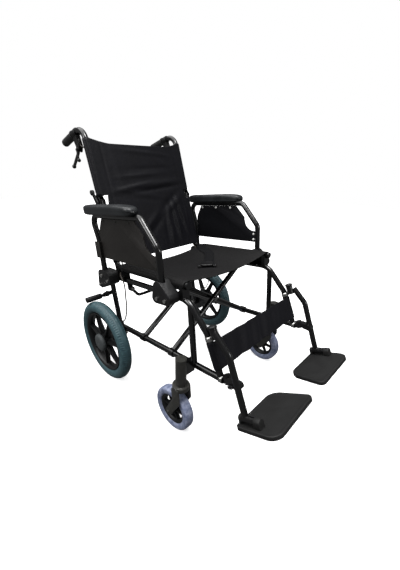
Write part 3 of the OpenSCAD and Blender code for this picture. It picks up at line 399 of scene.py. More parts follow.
def back_folds(x, z):
    """How far the cloth lies behind its flat plane. Its slack middle bulges to the front and each
    side seam is a hollow, with long creases by the hinge and steep folds low on the user's left."""
    side = 1.0 - np.clip(np.abs(x) / 196.0, 0, 1) ** 4
    slack = -5.0 * np.cos(np.clip(x / 392.0, -0.5, 0.5) * math.pi)
    f = sum(height * swell(x, z, *place) for height, *place in BACK_FOLDS)
    f -= 2.2 * np.exp(-(((np.abs(x) - SIDE_SEAM_X) / 4.5) ** 2))
    return slack * side - f * side


def top_hem(x):
    """Hem line: low between the canes, and rising towards each of them."""
    rise = np.clip((np.abs(x) - 128) / 76.0, 0, 1)
    return 178.0 + 16.0 * rise ** 1.3 - 1.5 * np.cos(x / 128.0 * 1.57)


def hinge_edge(x):
    """Top of the lower panel: a little over the hinge, and cut down beside each cane."""
    return np.where(np.abs(x) > 186, -34.0, 6.0)


def back_panel(name, low_z, top_of, body, node):
    """Sheet from the front of one cane to the front of the other: an even grid across, and rows
    from low_z up to the height that top_of gives at each place. A closed sleeve round each cane
    carries the sheet: a circle of SLEEVE_R carried along the cane."""
    xs = np.linspace(-CANE_X, CANE_X, 93)
    rows = np.linspace(0, 1, 57)
    z = low_z + rows[:, None] * (top_of(xs) - low_z)[None, :]
    x = np.broadcast_to(xs, z.shape)
    sheet = np.stack([x, SLACK_Y + back_folds(x, z), z], -1)
    piece = grid_piece(name, on_back(sheet), back_nylon, f"{body}_right")
    thicken(piece, 1.6)
    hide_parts(node)
    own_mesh(piece)
    around = full_turn(40)
    height = np.linspace(low_z, float(top_of(np.array([CANE_X]))[0]), 25)
    sleeves = []
    for side, sign in HANDED:
        ring = np.stack([sign * CANE_X + SLEEVE_R * np.sin(around), -SLEEVE_R * np.cos(around)], -1)
        tube = np.empty((len(height), len(around), 3))
        tube[..., :2], tube[..., 2] = ring, height[:, None]
        label = f"{name}_sleeve_{side}"
        sleeve = grid_piece(label, on_back(tube), back_nylon, f"{body}_{side}", closed_v=True)
        thicken(sleeve, 1.4, 0)
        sleeves.append(sleeve)
    return piece, sleeves


upper_cloth, upper_sleeves = back_panel("back_cloth_upper", 2.0, top_hem, "back", "back_upper")
lower_cloth, lower_sleeves = back_panel("back_cloth_lower", -236.0, hinge_edge, "frame", "back_lower")

# Seat cloth: a heavier woven nylon sling, wrapped round the two seat rails. It sags under its own
# slack between the rails.
seat_nylon = nylon("seat_nylon", "#0a0a0a", "#141313", 0.56, 2.8, 0.03, 90.0)
RAIL_X, RAIL_W, RAIL_R = 212.0, 450.0, 10.0
SEAT_FRONT, SEAT_REAR = -430.0, -97.0
SEAT_THICK, WRAP_GAP, WRAP_DEG = 2.6, 1.9, 215
SEAT_PULLS = [(1.4, 150, -130, 60, 9, 30), (1.2, -150, -130, 60, 9, -30)]
SEAT_PULLS += [(1.2, 120, -380, 70, 9, -22), (1.1, -110, -385, 70, 9, 24)]


def seat_height(x, v):
    """Height of the sling: a parabola of sag between the rails, a little deeper behind the
    middle, with a few shallow pull folds from the corners."""
    t = np.clip(np.abs(x) / 200.0, 0, 1)
    sag = 19.0 + 5.0 * np.exp(-(((v + 230) / 110) ** 2))
    edge = np.clip((v - SEAT_FRONT) / 30.0, 0, 1)
    h = RAIL_W + RAIL_R + SEAT_THICK - sag * (1 - t ** 2) - 1.5 * (1 - edge) ** 2
    pull = sum(height * swell(x, v, *place) for height, *place in SEAT_PULLS)
    return h + pull * (1 - t ** 6)


def seat_sheet():
    """Rows from front to rear, and an even grid across from the top of one rail to the other."""
    x, v = np.meshgrid(np.linspace(-RAIL_X, RAIL_X, 93), np.linspace(SEAT_FRONT, SEAT_REAR, 61))
    ends = np.clip((np.abs(x) - 196) / (RAIL_X - 196), 0, 1) ** 1.5
    w = seat_height(x, v) * (1 - ends) + (RAIL_W + RAIL_R + WRAP_GAP) * ends
    return raked(np.stack([x, v, w], -1))


def seat_wrap(sign):
    """The part of the sling that goes round a rail: an arc from its top, outwards and under."""
    v, wrap = np.meshgrid(np.linspace(SEAT_FRONT, SEAT_REAR, 41), np.radians(np.linspace(0, WRAP_DEG, 22)),
                          indexing="ij")
    r = RAIL_R + WRAP_GAP
    return raked(np.stack([sign * (RAIL_X + r * np.sin(wrap)), v, RAIL_W + r * np.cos(wrap)], -1))


seat = grid_piece("seat_cloth", seat_sheet(), seat_nylon, "brace_a")
thicken(seat, SEAT_THICK)
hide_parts("seat_sling")
for side, sign, body in (("right", -1, "brace_b"), ("left", 1, "brace_a")):
    turn = grid_piece(f"seat_cloth_wrap_{side}", seat_wrap(sign), seat_nylon, body)
    thicken(turn, SEAT_THICK)
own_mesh(seat)

# Calf strap: a band of the back's nylon, doubled, closed round the two front tubes with hook tape.
KNEE, FOOT = np.array([-505.0, 318.0]), np.array([-548.0, 195.0])
TUBE_TILT = math.atan2(KNEE[0] - FOOT[0], KNEE[1] - FOOT[1])
CALF_LOW, CALF_TOP = ((w - KNEE[1]) / math.cos(TUBE_TILT) for w in (222, 300))
CALF_R, CALF_THICK, CALF_DEG = 11.6, 2.2, 205


def on_front_tube(x, y, z):
    """Millimetres across, behind and along the sloping front tubes, from the knee, to the chair's axes."""
    c, s = math.cos(TUBE_TILT), math.sin(TUBE_TILT)
    return raked(np.stack([x, KNEE[0] + y * c + z * s, KNEE[1] - y * s + z * c], -1))


def calf_band():
    """Rows up the band and an even grid across, in front of the tubes, with upright folds that
    fade towards both ends."""
    x, z = np.meshgrid(np.linspace(-RAIL_X, RAIL_X, 151), np.linspace(CALF_LOW, CALF_TOP, 25))
    edge = 1 - (np.abs(x) / RAIL_X).clip(0, 1) ** 6
    folds = 2.4 * np.sin(x / 9.5 + 0.6 * np.sin(z / 22.0)) + 1.5 * np.sin(x / 23.0 + 1.0)
    fading = np.exp(-((x + 20) / 150) ** 2)
    return on_front_tube(x, -CALF_R + (2.4 + folds * fading) * edge, z)


def calf_wrap(sign):
    """The end of the band that goes round a front tube: an arc from the tube's front."""
    z, wrap = np.meshgrid(np.linspace(CALF_LOW, CALF_TOP, 15), np.radians(np.linspace(0, CALF_DEG, 20)),
                          indexing="ij")
    return on_front_tube(sign * (RAIL_X + CALF_R * np.sin(wrap)), -CALF_R * np.cos(wrap), z)


strap = grid_piece("calf_band", calf_band(), back_nylon, "frame_right")
thicken(strap, CALF_THICK)
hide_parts("calf_strap")
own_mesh(strap)
for side, sign in HANDED:
    turn = grid_piece(f"calf_band_wrap_{side}", calf_wrap(sign), back_nylon, f"frame_{side}")
    thicken(turn, CALF_THICK)

# Lap belt: 38 mm polyester webbing laid across the seat. A side-release buckle of black acetal
# with a bright pressed bar lies on the belt's end.
webbing = nylon("belt_webbing", "#040405", "#0a0a0c", 0.5, 1.8, 0.03, 30.0)
acetal = moulding("buckle_acetal", "#0b0b0c", "#19191a", 0.34, 1.6, 0.08)
BELT_HALF, BELT_LIFT = 19, 3.4
BELT_KNOTS = [(176, -112), (150, -150), (120, -212), (60, -268), (-4, -326)]
BUCKLE_AT, BUCKLE_TURN, BUCKLE_LIFT = np.array([-8.0, -320.0]), math.radians(43), 9.5


def smooth_through(knots, per):
    """A smooth curve through the knots (a Catmull-Rom spline), in per steps from knot to knot."""
    k = np.asarray(knots, float)
    s = np.linspace(0, len(k) - 1, (len(k) - 1) * per + 1)
    i = np.clip(s.astype(int), 0, len(k) - 2)
    f = (s - i)[:, None]
    a, b, c, d = (k[np.clip(i + step, 0, len(k) - 1)] for step in (-1, 0, 1, 2))
    bend = (2 * a - 5 * b + 4 * c - d) * f ** 2 + (3 * b - a - 3 * c + d) * f ** 3
    return 0.5 * (2 * b + (c - a) * f + bend)


def unit(vectors):
    """Each vector divided by its length."""
    return vectors / np.linalg.norm(vectors, axis=1, keepdims=True)


def belt_strip():
    """The webbing's width carried along its route in plan, and laid on the seat with a low crown."""
    path = smooth_through(BELT_KNOTS, 15)
    tangent = unit(np.gradient(path, axis=0))
    normal = np.stack([-tangent[:, 1], tangent[:, 0]], 1)
    offsets = np.linspace(-BELT_HALF, BELT_HALF, 9)
    plan = path[:, None, :] + normal[:, None, :] * offsets[None, :, None]
    crown = 0.8 * np.cos(offsets / BELT_HALF * 1.57)
    lying = seat_height(plan[..., 0], plan[..., 1]) + BELT_LIFT + crown[None, :]
    return raked(np.concatenate([plan, lying[..., None]], -1))


def soft_brick(length, width, height, power=0.28, rows=15, around=40):
    """Rings along a block whose section is a rounded rectangle and whose ends are rounded too."""
    s = np.sin(np.linspace(-math.pi / 2, math.pi / 2, rows))
    a = full_turn(around)
    fill = (1 - np.abs(s) ** 8).clip(0) ** 0.4
    side_way = np.sign(np.cos(a)) * np.abs(np.cos(a)) ** power * width / 2
    over = np.sign(np.sin(a)) * np.abs(np.sin(a)) ** power * height / 2
    block = np.empty((rows, around, 3))
    block[..., 0] = s[:, None] * length / 2
    block[..., 1] = fill[:, None] * side_way
    block[..., 2] = fill[:, None] * over
    return block


def on_belt(points):
    """Block coordinates to the chair's axes: turned to the belt's run, and lifted off the sling."""
    c, s = math.cos(BUCKLE_TURN), math.sin(BUCKLE_TURN)
    x = BUCKLE_AT[0] + points[..., 0] * c - points[..., 1] * s
    v = BUCKLE_AT[1] + points[..., 0] * s + points[..., 1] * c
    ground = seat_height(BUCKLE_AT[0], BUCKLE_AT[1]) + BUCKLE_LIFT
    return raked(np.stack([x, v, points[..., 2] + ground], -1))


def joined(name, grids, material, body):
    """Several grids of points, each closed round its columns, as one piece. A grid comes with True
    where its last row meets its first, and is capped otherwise."""
    parts = []
    for i, (grid, ring) in enumerate(grids):
        part = grid_piece(f"{name}_{i}", grid, material, None, closed_u=ring, closed_v=True, caps=not ring)
        parts.append(part)
    shape = bmesh.new()
    for part in parts:
        shape.from_mesh(part.data)
    mesh = bpy.data.meshes.new(name)
    shape.to_mesh(mesh)
    shape.free()
    for part in parts:
        bpy.data.objects.remove(part)
    mesh.materials.append(material)
    mesh.shade_smooth()
    mesh.set_sharp_from_angle(angle=math.radians(40))
    piece = bpy.data.objects.new(name, mesh)
    bpy.context.scene.collection.objects.link(piece)
    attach(piece, body)
    return piece


belt = grid_piece("belt_strap", belt_strip(), webbing, "brace_a")
thicken(belt, 1.8)
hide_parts("lap_belt")
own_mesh(belt)
body_block = soft_brick(52, 44, 8.5)
tabs = [soft_brick(20, 12, 5) + [-20, across, 0] for across in (27, -27)]
buckle = joined("belt_buckle", [(on_belt(g), False) for g in (body_block, *tabs)], acetal, "brace_a")
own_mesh(buckle)
bar = on_belt(soft_brick(4, 40, 3.2, 0.6) + [29, 0, 0])
buckle_bar = grid_piece("belt_buckle_bar", bar, zinc, "brace_a", closed_v=True, caps=True)
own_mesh(buckle_bar)

# Arm pads: self-skinned polyurethane foam, moulded round a steel strip and screwed to the tube
# from below. The skin is slate grey with a fine leather grain and rounded ends.


def foam_skin(name, low, high):
    """Self-skinned foam: a grain of about 2.5 mm in a half-gloss skin whose colour and gloss drift over about
    45 mm.
    """
    material, tree, shader, place = new_finish(name, {"IOR": 1.5})
    cells = {"Vector": place, "Scale": 1000.0 / 2.5}
    grain = add(tree, "ShaderNodeTexVoronoi", cells, feature="DISTANCE_TO_EDGE").outputs[0]
    rub = add(tree, "ShaderNodeTexNoise", {"Vector": place, "Scale": 22.0, "Detail": 4.0}).outputs[0]
    base = add(tree, "ShaderNodeMix", {0: rub, 6: colour(low), 7: colour(high)}, data_type="RGBA")
    feed(tree, base, shader, "Base Color")
    reach = {"Value": rub, "From Min": 0.3, "From Max": 0.7, "To Min": 0.34, "To Max": 0.5}
    feed(tree, add(tree, "ShaderNodeMapRange", reach), shader, "Roughness")
    bump = add(tree, "ShaderNodeBump", {"Height": grain, "Strength": 0.25, "Distance": 0.0005})
    feed(tree, bump, shader, "Normal")
    return material


pad_skin = foam_skin("pad_skin", "#111315", "#1d2023")
PAD_X, PAD_FRONT, PAD_REAR, PAD_BASE, PAD_H, PAD_HALF = 255.0, -278.0, 12.0, 639.0, 34.0, 25.0
PAD_SKIN, DROOP_FROM, DROOP = 0.7, -180, 5.0


def pad_shape(sign):
    """Rings along the pad. Each ring is a rounded rectangle with a crowned top and a parting line
    low on its sides. Its width and height close to nothing at both ends along a steep curve, and
    the front of the pad droops."""
    s = np.sin(np.linspace(-math.pi / 2, math.pi / 2, 73))
    v = ((PAD_REAR + PAD_FRONT) / 2 + (PAD_REAR - PAD_FRONT) / 2 * s)[:, None]
    fill = ((1 - np.abs(s) ** 9).clip(0) ** 0.34)[:, None]
    tall = ((1 - np.abs(s) ** 14).clip(0) ** 0.4)[:, None]
    a = full_turn(56)
    cx = np.sign(np.cos(a)) * np.abs(np.cos(a)) ** 0.42
    cw = np.sign(np.sin(a)) * np.abs(np.sin(a)) ** 0.5
    groove = 1 - 0.03 * np.exp(-(((cw + 0.35) / 0.08) ** 2))
    crown = 1.4 * (1 - cx ** 2) * (cw > 0)
    droop = DROOP * np.clip((DROOP_FROM - v) / (DROOP_FROM - PAD_FRONT), 0, 1) ** 2 * (cw > -0.2)
    half_h = PAD_H / 2 - PAD_SKIN
    x = sign * (PAD_X + PAD_HALF * fill * (cx * groove))
    w = PAD_BASE + half_h + (half_h * cw + crown) * tall - droop
    return raked(np.stack([x, np.broadcast_to(v, x.shape), w], -1))


for side, sign in HANDED:
    rings = pad_shape(sign)
    pad = grid_piece(f"arm_pad_foam_{side}", rings, pad_skin, f"armrest_{side}", closed_v=True, caps=True)
    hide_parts(f"arm_pad_{side}")

# Side panels: 4 mm ABS sheet with a haircell grain, cut to shape, and drawn near-black on the side
# towards the seat. Pan-head screws of 9 mm go through them there; their heads are drawn near-white,
# a painted glint that keeps them bright in the shade under the pads.
panel_sheet = moulding("panel_sheet", "#1d1b1a", "#292725", 0.5, 1.6, 0.3)
panel_inner_dark = nylon("panel_inner_dark", "#08080c", "#0e0e13", 0.7, 2.0, 0.0)
# Screw heads painted near-white: a painted glint that keeps them bright in the shade under the pads.
screw_painted_glint = paint("screw_painted_glint", "#c8c8c4", "#ecece8", 0.25, 0.35)
ACROSS, ALONG, UP = (1, 0, 0), (0, 1, 0), (0, 0, 1)
PANEL_IN_X, UPPER_SCREW_W, LEG_SCREW_V = 242.6, 618.7, -344.7
SCREWS = [(v, UPPER_SCREW_W) for v in (-73, -152, -230)] + [(LEG_SCREW_V, w) for w in (497, 518)]
SCREW_HEAD = [(0, 4.7), (0.9, 4.5), (1.8, 3.6), (2.4, 2.0), (2.5, 0.01)]


def turned(profile, centre, along, across, up, count):
    """A profile of (position along, radius) turned about a line: rings of count points."""
    a = full_turn(count)
    rim = np.cos(a)[:, None] * np.asarray(across, float) + np.sin(a)[:, None] * np.asarray(up, float)
    p = np.asarray(profile, float)
    spine = np.asarray(centre, float) + p[:, 0][:, None, None] * np.asarray(along, float)
    return spine + p[:, 1][:, None, None] * rim[None]


for side, sign in HANDED:
    panel = rounded_copy(f"side_panel_{side}", panel_sheet, 0.7)
    # Faces turned towards the seat are drawn near-black.
    panel.data.materials.append(panel_inner_dark)
    way = np.empty(len(panel.data.polygons) * 3, np.float32)
    panel.data.polygons.foreach_get("normal", way)
    panel.data.polygons.foreach_set("material_index", (way[::3] * sign < -0.9).astype(np.int32))
    heads = [turned(SCREW_HEAD, (sign * PANEL_IN_X, v, w), (-sign, 0, 0), ALONG, UP, 20) for v, w in SCREWS]
    grids = [(raked(head), False) for head in heads]
    screws = joined(f"panel_screws_{side}", grids, screw_painted_glint, f"armrest_{side}")

# Hand grips: black rubber sleeves with rings of low ribs and a flange at the front.
grip_rubber = moulding("grip_rubber", "#131313", "#262626", 0.62, 1.2, 0.3)
GRIP_FROM, GRIP_TO, GRIP_R, HANDLE_Z, RIB_STEP = 78.0, 163.0, 14.0, 234.5, 9.0
t = np.linspace(GRIP_FROM + 6, GRIP_TO - 4, 120)
ribs = GRIP_R - 1.1 + 1.1 * np.abs(np.cos((t - t[0]) / RIB_STEP * math.pi)) ** 0.6
grip_profile = [(GRIP_FROM + d, r) for d, r in [(0, 10.4), (0, 15.2), (1, 16.0), (4, 16.0), (5, 15.2)]]
grip_profile += list(zip(t, ribs))
grip_profile += [(GRIP_TO - d, r) for d, r in [(2, 13.0), (0.5, 11.0), (0, 8.0), (0, 0.01)]]
for side, sign in HANDED:
    shape = turned(grip_profile, (sign * CANE_X, 0, HANDLE_Z), ALONG, ACROSS, UP, 40)
    grip = grid_piece(f"grip_sleeve_{side}", on_back(shape), grip_rubber, f"back_{side}", closed_v=True)
    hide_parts(f"grip_{side}")

# Brake cables: steel cable in a brown-grey vinyl sleeve, from each lever down the cane and under
# the seat rail to its drum.
cable_sleeve = moulding("cable_sleeve", "#2b2825", "#4a443d", 0.45, 2.0, 0.1)
CABLE_R, CABLE_X = 2.5, 228.6
LOW_ROUTE = [
    (CABLE_X, -67.8, 233.7), (CABLE_X, -87, 249), (CABLE_X, -104, 281), (CABLE_X, -113, 316),
    (CABLE_X, -115, 345), (CABLE_X, -119, 380), (229, -116, 405), (228, -104, 420), (222, -91, 428),
    (208, -80, 433), (194, -67, 442), (188, -50, 470), (187, -34, 520), (187, -10, 610), (187, 6, 680),
]
HIGH_ROUTE = [
    (187, 16, 6), (188, 17, 50), (190, 18, 110), (195, 22, 160), (201, 36, 178), (206, 46, 187),
    (206, 46, 196.5),
]


def tube_along(knots):
    """A round tube of CABLE_R whose centre runs on a smooth curve through the knots. Its rings keep
    one point turned to a fixed direction, so they don't twist."""
    p = smooth_through(knots, 10)
    tangent = unit(np.gradient(p, axis=0))
    side_way = unit(np.cross(tangent, [0.95, 0.2, 0.24]))
    over = np.cross(tangent, side_way)
    g = full_turn(12)[None, :, None]
    return p[:, None] + CABLE_R * (np.cos(g) * side_way[:, None] + np.sin(g) * over[:, None])


for side, sign in HANDED:
    flip = np.array([sign, 1, 1])
    low_line, high_line = raked(tube_along(LOW_ROUTE) * flip), on_back(tube_along(HIGH_ROUTE) * flip)
    ends = {"closed_v": True, "caps": True}
    low_tube = grid_piece(f"cable_low_{side}", low_line, cable_sleeve, f"frame_{side}", **ends)
    high_tube = grid_piece(f"cable_high_{side}", high_line, cable_sleeve, f"back_{side}", **ends)
    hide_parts(f"brake_cable_{side}")
    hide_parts(f"upper_cable_{side}")

# Rear tyres: solid grey-blue polyurethane tyres with a low block tread, pressed on the rims.


def solid_tyre(name, low, high, rough):
    """Cast polyurethane: milky colour with paler scuffs of 14 mm, a satin skin and fine pores."""
    material, tree, shader, place = new_finish(name, {"IOR": 1.5})
    rubs = {"Vector": place, "Scale": 70.0, "Detail": 6.0, "Roughness": 0.65}
    scuff = add(tree, "ShaderNodeTexNoise", rubs).outputs[0]
    amount = add(tree, "ShaderNodeMapRange", {"Value": scuff, "From Min": 0.35, "From Max": 0.75}).outputs[0]
    base = add(tree, "ShaderNodeMix", {0: amount, 6: colour(low), 7: colour(high)}, data_type="RGBA")
    feed(tree, base, shader, "Base Color")
    gloss = add(tree, "ShaderNodeMapRange", {"Value": scuff, "To Min": rough - 0.1, "To Max": rough + 0.15})
    feed(tree, gloss, shader, "Roughness")
    pores = add(tree, "ShaderNodeTexNoise", {"Vector": place, "Scale": 600.0, "Detail": 2.0}).outputs[0]
    bump = add(tree, "ShaderNodeBump", {"Height": pores, "Strength": 0.15, "Distance": 0.0004})
    feed(tree, bump, shader, "Normal")
    return material


rear_rubber = solid_tyre("rear_tyre_rubber", "#29434a", "#3f5a5f", 0.5)
WHEEL_X, WHEEL_R, RIM_R, TYRE_R, TREAD_CUTS = 287.0, 160.0, 118.0, 22.0, 110
AXLE = np.array([0.0, AXLE_Y, WHEEL_R])


def rear_tyre_shape(sign):
    """Round section of 44 mm closed by the rim seat. Between 9 and 17 mm from the middle, blocks
    are cut by cross grooves each 9 mm. A thin groove runs round the middle and on each side wall."""
    turns = full_turn(4 * TREAD_CUTS)
    q = np.radians(np.linspace(-155, 155, 71))
    side = TYRE_R * np.sin(q)
    rad = np.maximum(WHEEL_R - TYRE_R + TYRE_R * np.cos(q), RIM_R + 0.1)
    cut = 0.5 + 0.5 * np.sign(np.cos(turns * TREAD_CUTS))
    band = 2.2 * np.exp(-(((np.abs(side) - 13.0) / 4.5) ** 4)) * (np.cos(q) > 0)
    ring = 0.7 * np.exp(-(((np.abs(side) - 19.5) / 1.0) ** 2)) * (np.cos(q) > -0.5)
    line = 0.9 * np.exp(-((side / 1.6) ** 2)) * (np.cos(q) > 0)
    radius = (rad - ring - line)[None, :] - band[None, :] * cut[:, None]
    y, z = radius * np.cos(turns)[:, None], radius * np.sin(turns)[:, None]
    x = np.broadcast_to(side[None, :] + sign * WHEEL_X, y.shape)
    return (np.stack([x, y, z], -1) + AXLE) / 1000


for side, sign in HANDED:
    name, body = f"rear_tyre_tread_{side}", f"rear_wheel_{side}"
    tyre = grid_piece(name, rear_tyre_shape(sign), rear_rubber, body, closed_u=True, closed_v=True)
    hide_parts(f"rear_tyre_{side}")

# Rear wheels: one-piece black nylon wheels with seven ribbed spokes, a deep rim and a smooth
# round cap over the outer bearing.
wheel_nylon = moulding("wheel_nylon", "#0a0b0c", "#161718", 0.4, 1.2, 0.2)
cap_nylon = moulding("cap_nylon", "#36393a", "#464a4b", 0.55, 1.2, 0.15)
REAR_SPOKES = 7
SPOKE_SECTION = [(-1, -0.5), (1, -0.5), (1, 0.1), (0.42, 0.25), (0.3, 1), (-0.3, 1), (-0.42, 0.25), (-1, 0.1)]
REAR_HUB = [
    (-26, 6.2), (-26, 22), (-24, 25), (-16, 25), (-14, 29), (10, 30), (14, 31), (18, 31), (22, 28.5),
    (25, 22), (26, 8), (26, 6.2),
]
REAR_RIM = [
    (-8, 106), (-14, 110), (-16, 114), (-17, 116), (-17, 118), (17, 118), (17, 116), (15, 112),
    (11, 108.5), (5, 106),
]
HUB_CAP = [(17, 33.0), (21, 34.5), (26, 34.0), (29.5, 31), (31.5, 26), (32.4, 18), (32.8, 8), (32.9, 0.01)]


def spoked_wheel(sign, centre, hub, rim, spokes, phase, root, tip):
    """Hub and rim are profiles turned about the axle; each spoke is a cross-section of a flat web
    with a rib on its outer face, carried from the hub to the rim and narrowing on the way. root and
    tip give a spoke's distance from the axle, half width and depth at its two ends."""
    along, up, fwd = np.array([sign, 0, 0.0]), np.array([0, 0, 1.0]), np.array([0, 1.0, 0])
    grids = [(turned(hub, centre, along, fwd, up, 64) / 1000, False)]
    grids.append((turned(rim, centre, along, fwd, up, 160) / 1000, True))
    section = np.array(SPOKE_SECTION)[None]
    steps = np.linspace(0, 1, 9)
    dist = (root[0] + (tip[0] - root[0]) * steps)[:, None, None]
    half = (tip[1] + (root[1] - tip[1]) * (1 - steps) ** 1.6)[:, None, None]
    deep = (root[2] + (tip[2] - root[2]) * steps)[:, None, None]
    for k in range(spokes):
        a = math.radians(phase + 360.0 * k / spokes)
        out = math.cos(a) * fwd + math.sin(a) * up
        wide = -math.sin(a) * fwd + math.cos(a) * up
        web = centre + dist * out + half * section[..., :1] * wide + deep * section[..., 1:] * along
        grids.append((web / 1000, False))
    return grids


for side, sign in HANDED:
    centre = np.array([sign * WHEEL_X, 0, 0]) + AXLE
    phase = 90 + 180 / REAR_SPOKES
    grids = spoked_wheel(sign, centre, REAR_HUB, REAR_RIM, REAR_SPOKES, phase, (24, 15, 13), (110, 8.5, 9))
    wheel = joined(f"rear_wheel_cast_{side}", grids, wheel_nylon, f"rear_wheel_{side}")
    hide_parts(f"rear_wheel_{side}")
    cap = turned(HUB_CAP, centre, (sign, 0, 0), ALONG, UP, 64) / 1000
    lid = grid_piece(f"hub_cap_{side}", cap, cap_nylon, f"rear_wheel_{side}", closed_v=True)
    thicken(lid, 0.8, 0)

# Collars and caps: a bright ring on each front tube below its knee and on the end of each lower
# rail, and a black cap over each hanger's upper barrel.
SWING_TOP, SWING_UP = (-525.96, 333.80), (math.sin(TUBE_TILT), math.cos(TUBE_TILT))
RAIL_END = (-556, 195)
KNEE_RING = [(-17, 10.0), (-16.2, 12.0), (-3.0, 12.0), (-2.2, 10.0)]
BARREL_CAP = [(13.0, 12.0), (13.6, 12.9), (16.5, 13.0), (19.0, 11.6), (20.6, 8.0), (21.0, 0.01)]
RAIL_RING = [(0, 10.1), (0.6, 11.8), (12.4, 11.8), (13, 10.1)]


def on_swing(points, sign):
    """Millimetres from the hanger's swing axis at its upper barrel, with Z up that axis."""
    p = np.asarray(points, float)
    s, c = SWING_UP
    v = SWING_TOP[0] + p[..., 1] * c + p[..., 2] * s
    w = SWING_TOP[1] - p[..., 1] * s + p[..., 2] * c
    return raked(np.stack([sign * RAIL_X + p[..., 0], v, w], -1))


def trim(name, rings, wall_mm, material, body):
    """A thin turned ring or cap with a wall of wall_mm."""
    piece = grid_piece(name, rings, material, body, closed_v=True)
    thicken(piece, wall_mm, 0)


for side, sign in HANDED:
    x = sign * RAIL_X
    tube = turned(KNEE_RING, (x, *KNEE), (0, *SWING_UP), ACROSS, (0, SWING_UP[1], -SWING_UP[0]), 48)
    top = turned(BARREL_CAP, (0, 0, 0), UP, ACROSS, ALONG, 48)
    end = turned(RAIL_RING, (x, *RAIL_END), ALONG, ACROSS, UP, 48)
    trim(f"front_tube_collar_{side}", raked(tube), 0.4, zinc, f"frame_{side}")
    trim(f"hanger_cap_{side}", on_swing(top, sign), 0.4, black_nylon, f"hanger_{side}")
    trim(f"rail_collar_{side}", raked(end), 0.3, zinc, f"frame_{side}")

# Front casters: pressed and welded steel forks under the frame's housings, with six-spoke nylon
# wheels and lilac-grey cast tyres that stay on their rims by a flat seat.
fork_paint = paint("fork_paint", "#232320", "#34332f", 0.4, 0.52)
caster_rubber = solid_tyre("caster_tyre_rubber", "#58617e", "#9fa6bd", 0.45)
CASTER_R, CASTER_TRAIL, CASTER_SPOKES = 76.0, 30.0, 6
CASTER_AXLE = np.array([0.0, AXLE_Y - STEM_AHEAD + CASTER_TRAIL, CASTER_R])
CASTER_HUB = [(-20.5, 4.2), (-20.5, 12), (-18, 15), (-8, 16), (8, 16), (18, 15), (20.5, 12), (20.5, 4.2)]
CASTER_RIM = [(-6, 42), (-10, 46), (-12, 49), (-12, 52), (12, 52), (12, 49), (10, 46), (6, 42)]
TREAD_HALF, TREAD_CORNER = 17.0, 9.0


def caster_tyre_profile():
    """Flat tread with corners of 9 mm radius, on a seat of the rim's radius."""
    r, turns = TREAD_CORNER, np.radians(np.linspace(0, 90, 9))
    corner = [(TREAD_HALF - r + r * math.sin(q), CASTER_R - r + r * math.cos(q)) for q in turns]
    wall = [(TREAD_HALF, CASTER_R - 15), (15.5, CASTER_R - 21), (12.2, CASTER_R - 23.9)]
    right_side = corner + wall
    return right_side + [(-along, radius) for along, radius in right_side[::-1]]


for side, sign in HANDED:
    rounded_copy(f"caster_fork_{side}", fork_paint, 1.5)
    centre = np.array([sign * STEM_X, 0, 0]) + CASTER_AXLE
    grids = spoked_wheel(sign, centre, CASTER_HUB, CASTER_RIM, CASTER_SPOKES, 0, (12, 8, 8), (45, 5, 6.5))
    wheel = joined(f"caster_wheel_cast_{side}", grids, wheel_nylon, f"caster_wheel_{side}")
    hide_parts(f"caster_wheel_{side}")
    ring = turned(caster_tyre_profile(), centre, ACROSS, ALONG, UP, 128) / 1000
    name, body = f"caster_tyre_cast_{side}", f"caster_wheel_{side}"
    tyre = grid_piece(name, ring, caster_rubber, body, closed_u=True, closed_v=True)
    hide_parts(f"caster_tyre_{side}")

# Footplates: matt black polypropylene mouldings with a low raised rim, hinged on the hanger's
# foot by a moulded block in front of it and a knuckle behind it.
footplate_plastic = moulding("footplate_plastic", "#0f0f0f", "#1b1b1b", 0.6, 1.4, 0.35)
FOOT_TILT = math.atan2(54.0, 175.4)
HINGE_PIN = (220.0, -637.0, 114.6)
PLATE_RING = [((12, 12), 12), ((-126, -18), 42), ((-168, -88), 16), ((-12, -72), 34)]
PLATE_LEVELS = [
    (9.0, -26.4), (3.0, -27.0), (1.0, -26.6), (0.2, -25.4), (0.0, -23.0), (0.0, -17.0), (0.4, -15.2),
    (1.4, -14.2), (2.6, -14.0), (4.6, -14.0), (5.8, -14.5), (6.8, -15.0), (9.0, -15.1),
]
BLOCK_FOOT, PIN_R = -15.6, 4


def rounded_ring(circles, inset, arc=10, run=14):
    """Outline round a ring of circles, given anticlockwise: an arc on each circle from one common
    tangent to the next, and points along each tangent. Every circle is smaller by the inset."""
    c = np.array([q for q, _ in circles], float)
    r = np.array([q for _, q in circles], float) - inset
    step = np.roll(c, -1, 0) - c
    slant = np.arcsin((r - np.roll(r, -1)) / np.linalg.norm(step, axis=1))
    off = np.arctan2(step[:, 1], step[:, 0]) - math.pi / 2 + slant
    start = np.roll(off, 1)
    turn = (off - start) % (2 * math.pi)
    a = start[:, None] + turn[:, None] * np.linspace(0, 1, arc)[None, :]
    arcs = c[:, None] + r[:, None, None] * np.stack([np.cos(a), np.sin(a)], -1)
    f = np.linspace(0, 1, run + 2)[None, 1:-1, None]
    runs = arcs[:, -1:] * (1 - f) + np.roll(arcs, -1, 0)[:, :1] * f
    return np.concatenate([arcs, runs], 1).reshape(-1, 2)


def on_foot(points, sign):
    """Millimetres from the hinge pin's middle, with Z up the hanger's tube, to the chair's axes."""
    p = np.asarray(points, float)
    c, s = math.cos(FOOT_TILT), math.sin(FOOT_TILT)
    v = HINGE_PIN[1] + p[..., 1] * c + p[..., 2] * s
    w = HINGE_PIN[2] - p[..., 1] * s + p[..., 2] * c
    return raked(np.stack([sign * (HINGE_PIN[0] + p[..., 0]), v, w], -1))


def plate_rings():
    """The plate's outline at each level: rounded below, and a raised rim round a sunk floor above."""
    outlines = [(rounded_ring(PLATE_RING, inset), level) for inset, level in PLATE_LEVELS]
    return np.stack([np.concatenate([ring, np.full((len(ring), 1), level)], 1) for ring, level in outlines])


